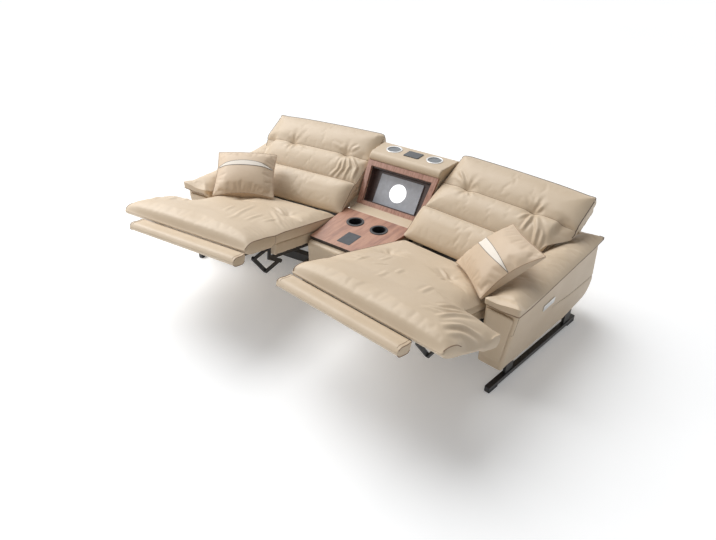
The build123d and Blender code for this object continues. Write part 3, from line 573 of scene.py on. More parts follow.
def fold_lift(places, path, height, width):
    """Fold in the leather along a path: a ridge with a valley on each side, fading at both ends."""
    path = np.array(path)
    gap, along = path_distance(places, path)
    length = np.sum(np.linalg.norm(np.diff(path, axis=0), axis=1))
    fade = np.sin(np.pi * np.clip(along / length, 0, 1)) ** 0.7
    ridge = np.exp(-((gap / width) ** 2))
    valley = 0.55 * np.exp(-(((gap - 1.8 * width) / width) ** 2))
    return height * fade * (ridge - valley)


def seam_depth(places, path, depth, width):
    """Groove that a sewn line pulls into the leather along a path."""
    gap, _ = path_distance(places, path)
    return depth * np.exp(-((gap / width) ** 2))


def surface(obj):
    graph = bpy.context.evaluated_depsgraph_get()
    return BVHTree.FromObject(obj, graph)


def cord(name, route, radius):
    """Round cord of a given radius along a route of points, as a mesh."""
    curve = bpy.data.curves.new(name, "CURVE")
    curve.dimensions = "3D"
    curve.bevel_depth = radius
    curve.bevel_resolution = 1
    curve.use_fill_caps = True
    spline = curve.splines.new("POLY")
    spline.points.add(len(route) - 1)
    for point, place in zip(spline.points, route):
        point.co = (*place, 1)
    carrier = add_object(name, curve)
    bpy.context.view_layer.update()
    mesh = made_mesh(carrier)
    bpy.data.objects.remove(carrier)
    bpy.data.curves.remove(curve)
    return add_object(name, mesh)


def on_surface(tree, route, sink):
    """Route of points moved to the nearest place on a surface, sunk into it a little."""
    moved = []
    for place in route:
        found, normal, _, _ = tree.find_nearest(Vector(place))
        moved.append(found - normal * sink)
    return moved


def below(tree, places, lift=0.0):
    """Points of an upper face under (x, y) places, lifted off it."""
    hits = [tree.ray_cast(Vector((*place, 0.3)), Vector((0, 0, -1))) for place in places]
    return [found + normal * lift for found, normal, _, _ in hits]


def dense(route, step=0.008):
    """Route with a point about every step, corners kept."""
    route = [np.array(p, float) for p in route]
    made = []
    for a, b in zip(route, route[1:]):
        count = max(1, int(np.linalg.norm(b - a) / step))
        made += [a + (b - a) * k / count for k in range(count)]
    return [*made, route[-1]]


def dress(obj, material):
    obj.data.materials.clear()
    obj.data.materials.append(material)
    for polygon in obj.data.polygons:
        polygon.use_smooth = True


def sew_on(obj, extra, material):
    """Joins a cord or patch to a piece, with a finish of its own."""
    slot = obj.data.materials.find(material.name)
    if slot < 0:
        slot = len(obj.data.materials)
        obj.data.materials.append(material)
    work = bmesh.new()
    work.from_mesh(obj.data)
    before = len(work.faces)
    work.from_mesh(extra.data)
    work.faces.ensure_lookup_table()
    for face in work.faces[before:]:
        face.material_index = slot
        face.smooth = True
    work.to_mesh(obj.data)
    work.free()
    bpy.data.objects.remove(extra)


def pipe(obj, routes, radius, material):
    """Piping along routes of points."""
    for route in routes:
        sew_on(obj, cord("piping", route, radius), material)


def stitch(obj, route, radius, material, sink=0.4):
    """Sewn line over a surface, sunk into it by a share of its radius."""
    tree = surface(obj)
    sew_on(obj, cord("stitching", on_surface(tree, dense(route), sink * radius), radius), material)


def twins(obj):
    """A piece and a copy of it, for the two sides to be finished apart."""
    return obj, add_object(obj.name, obj.data.copy())


def set_side(obj, side, stem, matrix):
    """Names a piece for its side and moves it there, mirrored on the left."""
    to_sofa = matrix if side == "right" else MIRROR @ matrix
    obj.name = f"{side}_{stem}"
    obj.data.transform(to_sofa)
    if side == "left":
        obj.data.flip_normals()
    return to_sofa


def both_sides(obj, stem, matrix):
    """A piece in its place on the right, and its mirror image on the left."""
    pieces = twins(obj)
    for side, piece in zip(SIDES, pieces):
        set_side(piece, side, stem, matrix)
    return pieces


def carry(pieces, body, *nodes, fill=None):
    """Lets a right and a left piece ride on their bodies and stand for their solids."""
    for side, piece in zip(SIDES, pieces):
        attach(piece, f"{side}_{body}" if body != "frame" else "frame")
        if nodes:
            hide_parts(*[f"{side}_{node}" for node in nodes])


# Sizes that the covers share
WIDE_STEP = 0.0095
FINE_STEP = 0.0085
SEWN_MARGIN = 0.03
CUSHION_SWELL = 0.007
BOLD_PIPING = 0.0028
SLIM_PIPING = 0.0024
FINE_PIPING = 0.0022
ARM_PIPING = 0.0030
SEAM_RADIUS = 0.0016

# Seat pad: one leather cover over seat and leg rest, with an ear in front of the arm
PAD_FRONT = 0.568
PAD_NOSE = 0.076
PAD_PIPING = 0.0026
KNEE = 0.309
PAD_OUTLINE = rounded((
    (-0.376, 0.227, 0.02),
    (PAD_FRONT, 0.224, 0.003),
    (PAD_FRONT, 1.124, 0.003),
    (0.330, 1.182, 0.06),
    (0.190, 1.197, 0.003),
    (0.183, 1.010, 0.02),
    (0.172, 0.977, 0.01),
    (-0.24, 0.977, 0.06),
    (-0.376, 0.940, 0.05),
))
PAD_SIDES = ((0.8, 1.07), (PAD_FRONT, 1.124), (0.33, 1.182), (0.192, 1.189), (0.183, 1.01), (0.172, 0.977))
PAD_SIDES += ((-0.24, 0.977), (-0.37, 0.94), (-0.37, 0.227), (0.8, 0.224))
SEAT_TUFTS = ((-0.020, 0.370), (-0.030, 0.765))
# Folds: their path, height and width
PAD_FOLDS = {
    "right": (
        (((0.320, 0.915), (0.240, 0.962), (0.182, 1.010)), 0.0085, 0.011),
        (((0.395, 0.905), (0.300, 0.985), (0.205, 1.045)), 0.0060, 0.011),
        (((0.440, 0.985), (0.320, 1.015), (0.222, 1.080)), 0.0090, 0.012),
        (((0.480, 1.040), (0.375, 1.090), (0.300, 1.165)), 0.0100, 0.013),
        (((0.510, 1.085), (0.430, 1.110), (0.360, 1.165)), 0.0055, 0.012),
        (((0.43, 0.895), (0.385, 0.960)), 0.0030, 0.013),
        (((0.23, 0.295), (0.22, 0.380)), 0.0030, 0.010),
        (((0.285, 0.370), (0.160, 0.372)), 0.0034, 0.011),
        (((0.230, 0.450), (0.170, 0.512)), 0.0032, 0.010),
        (((0.235, 0.600), (0.140, 0.586)), 0.0032, 0.011),
        (((0.35, 0.572), (0.24, 0.563)), 0.0028, 0.011),
        (((0.29, 0.795), (0.175, 0.792)), 0.0040, 0.011),
        (((0.17, 0.447), (0.055, 0.440)), 0.0030, 0.010),
        (((-0.075, 0.675), (-0.035, 0.760), (-0.020, 0.800)), 0.0050, 0.010),
        (((-0.035, 0.330), (-0.015, 0.380), (0.010, 0.430)), 0.0035, 0.010),
        (((0.05, 0.745), (-0.02, 0.760)), 0.0030, 0.009),
    ),
    "left": (
        (((0.320, 0.915), (0.240, 0.962), (0.190, 1.005)), 0.0040, 0.014),
        (((0.410, 0.960), (0.320, 1.000), (0.250, 1.050)), 0.0036, 0.014),
        (((0.460, 1.030), (0.375, 1.070), (0.330, 1.110)), 0.0036, 0.015),
        (((-0.046, 0.493), (-0.015, 0.420), (0.005, 0.386)), 0.0045, 0.010),
        (((0.040, 0.455), (0.110, 0.370), (0.179, 0.290)), 0.0036, 0.012),
        (((0.335, 0.436), (0.150, 0.439)), 0.0034, 0.012),
        (((0.410, 0.489), (0.220, 0.545), (0.030, 0.589)), 0.0036, 0.013),
        (((0.260, 0.360), (0.130, 0.345)), 0.0030, 0.011),
        (((0.300, 0.620), (0.160, 0.650)), 0.0026, 0.012),
        (((-0.060, 0.690), (-0.030, 0.765), (0.020, 0.800)), 0.0036, 0.011),
    ),
}
EAR_EDGE = ((0.50, 1.141), (0.330, 1.182), (0.200, 1.189))


def over_nose(s, height, foot):
    """Height that rounds over the front edge down to a foot height."""
    way = np.clip((s - (PAD_FRONT - PAD_NOSE)) / PAD_NOSE, 0, 1)
    return foot + (height - foot) * np.sqrt(1 - way**2.2)


def pad_top(places, edge):
    s, u = places.T
    side, _ = path_distance(places, PAD_SIDES)
    crown = 0.030 * (1 - np.exp(-side / 0.05)) + 0.008 * ease(side, 0.05, 0.3)
    rear_roll = 0.010 * np.clip((-0.30 - s) / 0.07, 0, 1) ** 2
    outer_roll = 0.014 * ease(u, 0.93, 0.977) * (1 - ease(s, 0.10, 0.20))
    ear = 0.022 * ease(u, 1.03, 1.19) * (1 - 0.6 * ease(s, 0.3, 0.5))
    waist = 0.006 * np.exp(-(((s - 0.31) / 0.05) ** 2))
    tufts = sum(tuft_depth(places, centre, 0.020, 0.045, 5, 0.6) for centre in SEAT_TUFTS)
    height = crown - rear_roll - outer_roll - ear - waist - tufts
    gap, _ = path_distance(places, EAR_EDGE)
    turned = np.sqrt(1 - np.clip(1 - gap / 0.040, 0, 1) ** 2.2)
    turned = 1 - (1 - turned) * ease(s, 0.22, 0.31) * (1 - ease(s, 0.42, 0.50))
    return over_nose(s, -0.046 + (height + 0.046) * turned, -0.034)


def pad_bottom(places, edge):
    s, u = places.T
    ear = -0.056 - 0.030 * ease(u, 0.98, 1.10)
    low = ear + (-0.070 - ear) * ease(s, 0.29, 0.34)
    return over_nose(s, low, -0.044)


def pad_seam_kept(places):
    """Piped seam: along the inner side, and round the outer end of the nose."""
    return (places[:, 1] < 0.2275) | ((places[:, 1] > 1.122) & (places[:, 0] > 0.455))


def pad_seam_hard(places):
    """Sharp along the sides, soft over the nose and where the ear's edge rolls over."""
    rolled = (places[:, 1] > 1.12) & (places[:, 0] > 0.27) & (places[:, 0] < 0.47)
    return np.where((places[:, 0] > PAD_FRONT - 0.002) | rolled, 0.0, 1.0)


def make_pad():
    cover = Cover("seat_pad", PAD_OUTLINE, WIDE_STEP, pad_top, pad_bottom, bulge=0.006, hard=pad_seam_hard)
    hold = cover.hold(SEWN_MARGIN)
    for centre in SEAT_TUFTS:
        gap = np.linalg.norm(cover.flat - np.array(centre), axis=1)
        hold[: cover.count] = np.maximum(hold[: cover.count], 1 - ease(gap, 0.012, 0.03))
    stuff(cover.obj, hold, CUSHION_SWELL, 0.006)
    refine(cover.obj)
    return cover


def finish_pad(obj, cover, side):
    """Folds and piping of one side's pad, and its place."""
    cover.obj = obj
    places = points_of(obj)[:, :2]
    press(obj, -cover.upper() * sum(fold_lift(places, *fold) for fold in PAD_FOLDS[side]))
    dress(obj, HIDE)
    # The piping and the knee line are darker than the hide: painted shade along the seams and at the knee
    # joint.
    pipe(obj, cover.seam(pad_seam_kept), PAD_PIPING, SHADED_PIPING)
    stitch(obj, [(KNEE, 0.222, n) for n in np.linspace(-0.004, -0.062, 8)], SEAM_RADIUS, SHADED_PIPING)
    to_sofa = set_side(obj, side, "seat_pad", PAD)
    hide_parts(f"{side}_seat_cushion", f"{side}_legrest_cushion")
    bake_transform(obj)


pad_cover = make_pad()
for side, piece in zip(SIDES, twins(pad_cover.obj)):
    finish_pad(piece, pad_cover, side)

# Back cushion: crowned, with a sewn channel and two tufts, and folds that run down from one of them
BACK_OUTLINE = rounded((
    (-0.008, 0.206, 0.012),
    (-0.023, 0.245, 0.015),
    (-0.024, 0.560, 0.100),
    (-0.017, 0.900, 0.100),
    (-0.002, 1.098, 0.008),
    (0.268, 1.099, 0.030),
    (0.400, 1.016, 0.050),
    (0.452, 0.992, 0.006),
    (0.452, 0.208, 0.006),
))
BACK_SEAM = 0.240
BACK_RISE = 0.4462
BACK_RUN = 0.8949
ARM_PAD_TOP = 0.548
BACK_TUFTS = ((BACK_SEAM, 0.395), (BACK_SEAM, 0.840))
BACK_FOLDS = {
    "right": (
        (((0.255, 0.852), (0.320, 0.856), (0.390, 0.850)), 0.0090, 0.010),
        (((0.262, 0.872), (0.350, 0.928), (0.450, 0.955)), 0.0095, 0.011),
        (((0.268, 0.890), (0.370, 0.968), (0.440, 0.985)), 0.0055, 0.010),
        (((0.335, 0.790), (0.252, 0.834)), 0.0035, 0.011),
        (((0.150, 0.775), (0.226, 0.835)), 0.0030, 0.012),
        (((0.145, 0.828), (0.222, 0.843)), 0.0030, 0.011),
        (((0.190, 0.880), (0.235, 0.852)), 0.0050, 0.010),
        (((0.130, 0.268), (0.175, 0.318), (0.225, 0.375)), 0.0080, 0.011),
        (((0.185, 0.275), (0.226, 0.358)), 0.0045, 0.010),
        (((0.250, 0.400), (0.295, 0.437)), 0.0040, 0.009),
        (((0.250, 0.425), (0.285, 0.474)), 0.0030, 0.009),
    ),
    "left": (
        (((0.252, 0.390), (0.385, 0.378), (0.448, 0.425)), 0.0065, 0.010),
        (((0.254, 0.378), (0.378, 0.344), (0.450, 0.380)), 0.0075, 0.010),
        (((0.254, 0.362), (0.350, 0.303), (0.450, 0.316)), 0.0075, 0.010),
        (((0.250, 0.345), (0.335, 0.256), (0.450, 0.246)), 0.0065, 0.010),
        (((0.215, 0.420), (0.178, 0.535)), 0.0030, 0.012),
        (((0.215, 0.370), (0.160, 0.315)), 0.0045, 0.012),
        (((0.255, 0.820), (0.330, 0.815)), 0.0035, 0.012),
        (((0.252, 0.800), (0.298, 0.690)), 0.0030, 0.012),
    ),
}


def over_arm(places):
    """Height off the back's face at which the wing clears the arm pad."""
    return (ARM_PAD_TOP - BACK_HEIGHT + BACK_RISE * places[:, 0]) / BACK_RUN


def back_top(places, edge):
    d, u = places.T
    wing = ease(u, 0.990, 1.020)
    rim = wing * ease(d, 0.20, 0.31) * (over_arm(places) + 0.006)
    crown = 0.044 * (1 - np.exp(-edge / 0.045)) + 0.004 * ease(edge, 0.05, 0.15)
    channel = 0.020 * np.exp(-(((d - BACK_SEAM) / 0.032) ** 2)) * ease(edge, 0.0, 0.07)
    tufts = sum(tuft_depth(places, centre, 0.022, 0.045, 6, 0.9) for centre in BACK_TUFTS)
    horn = 0.006 * sum(np.exp(-(d**2 + (u - corner) ** 2) / 0.03**2) for corner in (0.206, 1.097))
    return rim + crown - channel - tufts + horn


def back_bottom(places, edge):
    wing = ease(places[:, 1], 0.990, 1.020)
    return np.maximum(-0.050, -0.050 + wing * (over_arm(places) + 0.052))


def below_top(places):
    """Past the upper edge, down the cushion's sides."""
    return places[:, 0] > 0.018


def make_back():
    cover = Cover("back_cushion", BACK_OUTLINE, WIDE_STEP, back_top, back_bottom)
    hold = cover.hold(SEWN_MARGIN)
    sewn = 1 - ease(np.abs(cover.flat[:, 0] - BACK_SEAM), 0.006, 0.016)
    hold[: cover.count] = np.maximum(hold[: cover.count], sewn)
    stuff(cover.obj, hold, CUSHION_SWELL, 0.003)
    refine(cover.obj)
    return cover


def finish_back(obj, cover, side):
    """Folds, seam and piping of one side's cushion, and its place."""
    cover.obj = obj
    places = points_of(obj)[:, :2]
    lift = sum(fold_lift(places, *fold) for fold in BACK_FOLDS[side])
    seam = seam_depth(places, ((BACK_SEAM, 0.2), (BACK_SEAM, 1.1)), 0.005, 0.0045)
    press(obj, cover.upper() * (seam - lift))
    dress(obj, HIDE)
    # The piping is darker than the hide as painted shade: near black along the top and outer edge, brown
    # along the inner side.
    pipe(obj, cover.seam(lambda places: places[:, 0] < 0.02), BOLD_PIPING, DARK_SHADED_PIPING)
    pipe(obj, cover.seam(lambda places: below_top(places) & (places[:, 1] > 1.09)), BOLD_PIPING, DARK_SHADED_PIPING)
    pipe(obj, cover.seam(lambda places: below_top(places) & (places[:, 1] < 0.25)), SLIM_PIPING, SHADED_PIPING)
    # The channel's seam line is darker than the hide: painted shade in its groove.
    seam_line = below(surface(obj), [(BACK_SEAM, u) for u in np.linspace(0.216, 1.080, 120)])
    pipe(obj, (seam_line,), SEAM_RADIUS, SHADED_SEAM)
    set_side(obj, side, "back_cushion_skin", BACK)
    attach(obj, f"{side}_back")
    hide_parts(f"{side}_back_cushion")


back_cover = make_back()
for side, piece in zip(SIDES, twins(back_cover.obj)):
    finish_back(piece, back_cover, side)

# Lumbar cushion: long bolster with sewn ends
LUMBAR_OUTLINE = rounded((
    (0.457, 0.207, 0.006),
    (0.688, 0.210, 0.012),
    (0.688, 0.960, 0.012),
    (0.457, 0.962, 0.006),
))


def lumbar_top(places, edge):
    d, u = places.T
    ends = np.minimum(u - 0.207, 0.962 - u)
    bow = np.clip(1 - np.abs((d - 0.572) / 0.118) ** 3.0, 0, 1) ** 0.7
    rim = 0.016 - 0.028 * ease(d, 0.47, 0.67)
    return rim + 0.044 * bow * (1 - np.exp(-np.maximum(ends, 0) / 0.03))


def lumbar_bottom(places, edge):
    inner = 0.020 * (1 - ease(places[:, 1], 0.215, 0.235))
    return -0.048 + 0.014 * ease(places[:, 0], 0.655, 0.688) + inner


def make_lumbar():
    cover = Cover("lumbar_cushion", LUMBAR_OUTLINE, FINE_STEP, lumbar_top, lumbar_bottom, bulge=0.006)
    stuff(cover.obj, cover.hold(SEWN_MARGIN), 0.005, 0.004)
    refine(cover.obj)
    dress(cover.obj, HIDE)
    # The piping is darker than the hide: painted shade along the seam.
    pipe(cover.obj, cover.seam(lambda places: places[:, 0] < 0.66), SLIM_PIPING, SHADED_PIPING)
    return cover.obj


lumbars = both_sides(make_lumbar(), "lumbar_skin", BACK)
carry(lumbars, "back", "lumbar_cushion", fill=0.85)

# Arms: pillow top over an upholstered box
ARM_PAD_OUTLINE = rounded((
    (0.021, 1.004, 0.02),
    (0.022, 1.198, 0.010),
    (-0.16, 1.199, 0.1),
    (-0.70, 1.201, 0.1),
    (-0.960, 1.203, 0.004),
    (-0.955, 1.046, 0.02),
    (-0.70, 1.023, 0.1),
    (-0.48, 1.004, 0.1),
    (-0.10, 1.000, 0.05),
))


def arm_rim(places):
    """Height of the pad's edge: lifted at the front and rear outer corners."""
    x, u = places.T
    outer = ease(u, 1.06, 1.19)
    front = 0.020 * outer * (1 - ease(-x, -0.02, 0.30))
    rear = 0.010 * outer * ease(-x, 0.70, 0.95)
    strip = 0.026 * (1 - ease(-x, -0.022, 0.04))
    return 0.511 + front + rear + strip


def arm_top(places, edge):
    x = places[:, 0]
    crown = 0.036 * (1 - np.exp(-edge / 0.035)) * (1 - 0.35 * ease(-x, 0.55, 0.9))
    front = np.exp(-np.clip(0.022 - x, 0, 1) / 0.03)
    puff = 0.010 * np.exp(-(((x + 0.12) / 0.14) ** 2)) * ease(edge, 0.01, 0.06)
    return arm_rim(places) + crown * (1 - 0.35 * front) + puff


def arm_bottom(places, edge):
    x, u = places.T
    outer = ease(u, 1.10, 1.19)
    return 0.506 + 0.008 * outer * (1 - ease(-x, -0.02, 0.12)) + 0.006 * outer * ease(-x, 0.80, 0.95)


def make_arm_pad():
    cover = Cover("arm_pad", ARM_PAD_OUTLINE, FINE_STEP, arm_top, arm_bottom, rows=2, bulge=0.001)
    stuff(cover.obj, cover.hold(0.025), 0.006, 0.010)
    refine(cover.obj)
    dress(cover.obj, HIDE)

    def outer_edge(places):
        return (places[:, 1] > 1.19) | (places[:, 0] > 0.0205)

    def rear_tip(places):
        return (places[:, 0] < -0.935) & (places[:, 1] > 1.17)

    # The piping is darker than the hide: painted shade under the pad's edge, near black at the rear tip.
    pipe(cover.obj, cover.seam(outer_edge, bottom=True), ARM_PIPING, SHADED_PIPING)
    pipe(cover.obj, cover.seam(rear_tip), ARM_PIPING, DARK_SHADED_PIPING)
    return cover.obj


arm_pads = both_sides(make_arm_pad(), "arm_pad_skin", ARM)
carry(arm_pads, "frame", "arm_pad", fill=0.85)
ARM_SEAM = ((-0.43, 0.308), (-0.674, 0.275), (-0.98, 0.240))
FRONT_SEAM = ((0.004, 1.16, 0.37), (-0.004, 1.19, 0.372), (-0.004, 1.195, 0.50))


def make_arm_body():
    obj = node_copy("arm_body", "right_arm_body")
    obj.data.transform(ARM.inverted())
    remesh(obj, 0.009)
    relax(obj, 3)
    refine(obj)
    points = points_of(obj)
    outer = ease(normals_of(obj)[:, 1], 0.4, 0.8)
    press(obj, outer * seam_depth(points[:, [0, 2]], ARM_SEAM, 0.004, 0.005))
    dress(obj, HIDE)
    # The stitch lines are darker than the hide: painted shade in their grooves.
    stitch(obj, [(x, 1.19, z) for x, z in ARM_SEAM], SEAM_RADIUS, SHADED_PIPING)
    stitch(obj, FRONT_SEAM, 0.0014, SHADED_PIPING)
    return obj


arm_bodies = both_sides(make_arm_body(), "arm_skin", ARM)
carry(arm_bodies, "frame", "arm_body", fill=0.95)


def upholstered(name, node, voxel, smooth, body):
    """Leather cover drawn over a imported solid: its edges rounded as foam rounds them."""
    obj = node_copy(name, node)
    remesh(obj, voxel)
    relax(obj, smooth)
    dress(obj, HIDE)
    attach(obj, body)
    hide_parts(node)


upholstered("console_body_skin", "console_body", 0.008, 3, "frame")
upholstered("console_tower_skin", "console_tower", 0.006, 2, "frame")
upholstered("rear_panel_skin", "rear_panels", 0.007, 2, "frame")
upholstered("arm_front_skin", "arm_front_panels", 0.005, 3, "frame")
for side in SIDES:
    upholstered(f"{side}_seat_box_skin", f"{side}_seat_platform", 0.009, 3, f"{side}_seat")
    upholstered(f"{side}_back_shell_skin", f"{side}_back_shell", 0.007, 2, f"{side}_back")

# Foot rest: slim padded panel with piped ends, on two black lugs
FOOT_REAR = 0.571
FOOT_FRONT = 0.667
FOOT_TURN = 0.632
FOOT_ENDS = (0.219, 0.977)
FOOT_OUTLINE = rounded((
    (FOOT_REAR, FOOT_ENDS[0], 0.003),
    (FOOT_FRONT, FOOT_ENDS[0], 0.003),
    (FOOT_FRONT, FOOT_ENDS[1], 0.003),
    (FOOT_REAR, FOOT_ENDS[1], 0.003),
))


def foot_curve(s):
    """1 on the flat of the panel, falling to 0 round its front edge."""
    return np.sqrt(1 - np.clip((s - FOOT_TURN) / (FOOT_FRONT - FOOT_TURN), 0, 1) ** 2.2)


def foot_top(places, edge):
    crown = 0.004 * (1 - np.exp(-edge / 0.02))
    lip = 0.006 * (1 - ease(places[:, 0], 0.575, 0.605))
    return -0.080 + (0.022 + crown) * foot_curve(places[:, 0]) + lip


def foot_bottom(places, edge):
    lip = 0.018 * (1 - ease(places[:, 0], 0.572, 0.586))
    return -0.085 - 0.021 * foot_curve(places[:, 0]) + lip


def make_foot():
    cover = Cover(
        "foot_panel", FOOT_OUTLINE, FINE_STEP, foot_top, foot_bottom, rows=2, bulge=0.001,
        hard=lambda places: np.where(places[:, 0] > FOOT_FRONT - 0.002, 0.0, 1.0),
    )
    refine(cover.obj)
    dress(cover.obj, HIDE)

    def ends(places):
        return (places[:, 1] < 0.2195) | (places[:, 1] > 0.9765)

    # The piping at the ends is darker than the hide: painted shade along the seams.
    for bottom in (False, True):
        pipe(cover.obj, cover.seam(ends, bottom), FINE_PIPING, SHADED_PIPING)
    # The stitch lines are darker than the hide: painted shade in their grooves.
    for u in (0.234, 0.962):
        line = [(s, u, -0.045) for s in np.linspace(0.575, FOOT_FRONT + 0.01, 30)]
        stitch(cover.obj, line, 0.0013, SHADED_SEAM, 0.1)
    return cover.obj


feet = both_sides(make_foot(), "foot_panel_skin", PAD)
carry(feet, "footrest", "footrest_panel", fill=0.9)

LUG_MIDDLES = (0.3228, 0.8772)
LUG_HALF = 0.004
LUG_EYE = (0.558, -0.102)
LUG_RADIUS = 0.010


def make_lugs():
    """Two flat hinge bars that carry the foot panel."""
    turns = np.linspace(1.8, 4.94, 9)
    s, n = LUG_EYE
    outline = [(s + LUG_RADIUS * math.cos(a), n + LUG_RADIUS * math.sin(a)) for a in turns]
    outline += [(0.604, -0.101), (0.600, -0.083)]
    work = bmesh.new()
    for middle in LUG_MIDDLES:
        ring = []
        for u in (middle - LUG_HALF, middle + LUG_HALF):
            ring.append([work.verts.new((s, u, n)) for s, n in outline])
        work.faces.new(ring[0])
        work.faces.new(list(reversed(ring[1])))
        for i in range(len(outline)):
            j = (i + 1) % len(outline)
            work.faces.new((ring[0][j], ring[0][i], ring[1][i], ring[1][j]))
    bmesh.ops.recalc_face_normals(work, faces=work.faces)
    mesh = bpy.data.meshes.new("foot_lugs")
    work.to_mesh(mesh)
    work.free()
    mesh.materials.append(BLACK_STEEL)
    return add_object("foot_lugs", mesh)


carry(both_sides(make_lugs(), "foot_lugs", PAD), "footrest")

# Throw pillows: pointed corners, and a pale crescent band across the front
PILLOW_DRAW = 0.015
BAND_POINTS = 61
BAND_ROWS = 8
BAND_LIFT = 0.0012
PILLOW_HALF = {"right": (0.201, 0.186), "left": (0.199, 0.193)}
# Bands: start, middle, end, width, and the share of that width along the band
PILLOW_BANDS = {
    "right": ((0.045, 0.49), (0.49, 0.485), (0.955, 0.49), 0.049, lambda way: 1 - way**3.6),
    "left": ((0.055, 0.56), (0.50, 0.60), (0.945, 0.56), 0.044, lambda way: np.sin(math.pi * way) ** 0.6),
}


def pillow_outline(half):
    """Square with sides drawn in between its corners."""
    corners = np.array(half) * ((-1, -1), (1, -1), (1, 1), (-1, 1))
    outline = []
    for here, ahead in zip(corners, np.roll(corners, -1, axis=0)):
        inward = -(here + ahead) / np.linalg.norm(here + ahead)
        for way in np.linspace(0, 1, 22)[:-1]:
            outline.append(here + (ahead - here) * way + inward * PILLOW_DRAW * math.sin(math.pi * way))
    return np.array(outline)


def make_pillow(half):
    def bulge(places):
        x, y = np.abs(places / np.array(half)).T
        return (np.clip(1 - x**2.2, 0, 1) * np.clip(1 - y**2.2, 0, 1)) ** 0.55

    cover = Cover(
        "throw_pillow", pillow_outline(half), FINE_STEP,
        lambda places, edge: 0.003 + 0.074 * bulge(places),
        lambda places, edge: -0.003 - 0.032 * bulge(places),
        rows=1,
    )
    hold = cover.hold(0.02)
    hold[cover.count : 2 * cover.count] = 1 - ease(cover.edge, 0.003, 0.02)
    stuff(cover.obj, hold, 0.009, 0.03)
    refine(cover.obj)
    dress(cover.obj, PILLOW_HIDE)
    # The piping is darker than the pillow leather: painted shade along the edge seam.
    pipe(cover.obj, cover.seam(lambda places: np.full(len(places), True)), FINE_PIPING, SHADED_PILLOW_PIPING)
    return cover.obj


def add_band(obj, half, start, middle, end, wide, share_at):
    """Crescent band on the pillow's front: places run from 0 to 1 across and up the pillow."""
    tree = surface(obj)
    ways = np.linspace(0, 1, BAND_POINTS)
    control = (np.array((start, middle, end)) * 2 - 1) * np.array(half)
    bend = (control[1] - 0.25 * (control[0] + control[2])) * 2
    spine = np.outer((1 - ways) ** 2, control[0]) + np.outer(ways**2, control[2])
    spine += np.outer(2 * ways * (1 - ways), bend)
    ahead = np.gradient(spine, axis=0)
    across = np.column_stack((-ahead[:, 1], ahead[:, 0]))
    across /= np.linalg.norm(across, axis=1, keepdims=True)
    across *= (wide * share_at(np.clip(ways, 0.01, 0.985)))[:, None]
    rows = [below(tree, spine + across * share, BAND_LIFT) for share in np.linspace(-0.5, 0.5, BAND_ROWS + 1)]
    faces = []
    for k in range(BAND_ROWS):
        for i in range(k * BAND_POINTS, (k + 1) * BAND_POINTS - 1):
            faces.append((i, i + 1, i + 1 + BAND_POINTS, i + BAND_POINTS))
    patch = mesh_object("band", [place for row in rows for place in row], faces)
    sew_on(obj, patch, BAND)
    pipe(obj, (rows[0], rows[-1]), 0.0013, BAND_EDGE)


def pillow_frame(centre, across, along):
    """Frame of a pillow that leans at centre; across and along are its sides, by u, v and height."""
    to_row = basis(ORIGIN, OUT, REAR, UP)
    wide = (to_row.to_3x3() @ Vector(across)).normalized()
    normal = wide.cross(to_row.to_3x3() @ Vector(along)).normalized()
    return basis(to_row @ Vector(centre), wide, normal.cross(wide).normalized(), normal)


PILLOW_FRAMES = {
    "right": pillow_frame((0.919, 0.238, 0.595), (0.312, -0.256, 0.043), (0.184, 0.256, 0.206)),
    "left": pillow_frame((0.865, 0.229, 0.580), (0.334, -0.215, 0.029), (0.184, 0.307, 0.156)),
}
for side in SIDES:
    piece = make_pillow(PILLOW_HALF[side])
    add_band(piece, PILLOW_HALF[side], *PILLOW_BANDS[side])
    set_side(piece, side, "pillow_skin", PILLOW_FRAMES[side])
    rear = REAR if side == "right" else MIRROR.to_3x3() @ REAR
    front = min((vertex.co for vertex in piece.data.vertices), key=rear.dot).copy()
    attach(piece, f"{side}_seat")
    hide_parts(f"{side}_throw_pillow")
    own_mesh(piece)

# Finishes of the solids that show as they are
FINISHES = {
    "sled_legs": BLACK_STEEL, "floor_glides": BLACK_PLASTIC, "base_frame": BLACK_STEEL,
    "slide_rails": BLACK_STEEL, "recline_motors": BLACK_PLASTIC, "switch_plates": BRIGHT,
    "console_legs": BLACK_PLASTIC, "console_table_top": WALNUT, "cup_holders": BLACK_PLASTIC,
    "charging_pad": SLATE, "niche_frame": WALNUT_FRAME, "niche_lining": NICHE_WOOD,
    "niche_panel": GREY_PANEL, "niche_lamp": LAMP, "speaker_rims": BRIGHT, "speaker_grilles": GRILLE,
    "media_panel": SLATE,
}
SIDE_FINISHES = {
    "seat_carriage": BLACK_STEEL, "back_drive": BLACK_PLASTIC, "seat_side_plates": BLACK_STEEL,
    "legrest_frame": BLACK_STEEL, "rear_links": BLACK_STEEL, "front_links": BLACK_STEEL,
    "back_frame": BLACK_STEEL, "recline_button": BRIGHT, "return_button": BRIGHT,
}
for side in SIDES:
    FINISHES.update({f"{side}_{node}": material for node, material in SIDE_FINISHES.items()})
for node, material in FINISHES.items():
    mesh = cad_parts[node].data
    mesh.materials.clear()
    mesh.materials.append(material)
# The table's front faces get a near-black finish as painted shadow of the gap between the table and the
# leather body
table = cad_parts["console_table_top"].data
table.materials.append(TABLE_EDGE_SHADOW)
for polygon in table.polygons:
    polygon.material_index = 1 if polygon.normal.y < -0.6 else 0

# Stage, light and camera
FLOOR_HALF = 30
FLOOR_GLOW = 0.20
WORLD_LIGHT = 0.24


def floor_material():
    material, tree, shader = new_material("pale_floor")
    tone = noise(tree, coordinates(tree), 0.6, 2.0)
    pale = ramp(tree, tone, (0.3, (0.89, 0.90, 0.91)), (0.7, (0.91, 0.92, 0.93)))
    tree.links.new(pale, shader.inputs["Base Color"])
    set_inputs(shader, Roughness=0.8, Specular_IOR_Level=0.1)
    set_inputs(shader, Emission_Color=(1, 1, 1, 1), Emission_Strength=FLOOR_GLOW)
    return material


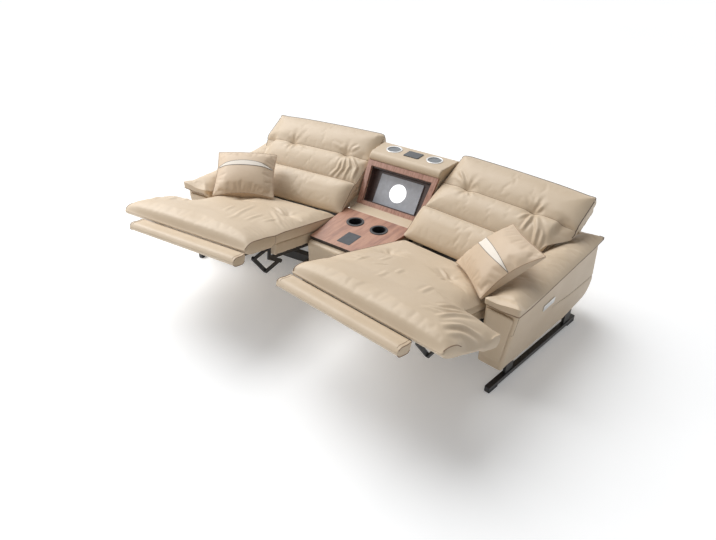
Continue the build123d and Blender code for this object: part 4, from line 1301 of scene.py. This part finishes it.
floor_corners = [(x * FLOOR_HALF, y * FLOOR_HALF, 0) for x, y in ((-1, -1), (1, -1), (1, 1), (-1, 1))]
floor = mesh_object("floor", floor_corners, [(0, 1, 2, 3)])
floor.data.materials.append(floor_material())

# White where it is seen or mirrored, and dimmer as a light
world = bpy.data.worlds.new("studio")
scene.world = world
world.use_nodes = True
world_tree = world.node_tree
background = world_tree.nodes["Background"]
set_inputs(background, Color=(1, 1, 1, 1))
sight = world_tree.nodes.new("ShaderNodeLightPath")
strength = world_tree.nodes.new("ShaderNodeMapRange")
set_inputs(strength, To_Min=WORLD_LIGHT, To_Max=1.0)
seen = sight.outputs["Is Camera Ray"]
for ray in ("Is Glossy Ray", "Is Transmission Ray"):
    either = world_tree.nodes.new("ShaderNodeMath")
    either.operation = "MAXIMUM"
    world_tree.links.new(seen, either.inputs[0])
    world_tree.links.new(sight.outputs[ray], either.inputs[1])
    seen = either.outputs[0]
world_tree.links.new(seen, strength.inputs["Value"])
world_tree.links.new(strength.outputs["Result"], background.inputs["Strength"])


def sun_light(name, towards, power, angle):
    data = bpy.data.lights.new(name, "SUN")
    data.energy = power
    data.angle = math.radians(angle)
    lamp = add_object(name, data)
    lamp.rotation_euler = Vector(towards).to_track_quat("-Z", "Y").to_euler()


def area_light(name, place, target, size, power):
    data = bpy.data.lights.new(name, "AREA")
    data.shape = "DISK"
    data.size = size
    data.energy = power
    lamp = add_object(name, data)
    lamp.location = place
    lamp.rotation_euler = (Vector(target) - Vector(place)).to_track_quat("-Z", "Y").to_euler()


sun_light("sky", (0.60, -0.24, -0.90), 2.45, 50)
area_light("key", (-3.0, -1.1, 2.4), (0.0, -0.4, 0.4), 2.2, 48)

CAMERA_PLACE = (1.798, -2.391, 2.2)
CAMERA_DIP = math.radians(34.11)
CAMERA_TURN = math.radians(35.91)
CAMERA_LENS = 28.6
camera_data = bpy.data.cameras.new("camera")
camera_data.sensor_width = 36
camera_data.lens = CAMERA_LENS
camera = add_object("camera", camera_data)
camera.location = CAMERA_PLACE
camera.rotation_euler = (math.pi / 2 - CAMERA_DIP, 0, CAMERA_TURN)
scene.camera = camera
scene.view_settings.view_transform = "Standard"
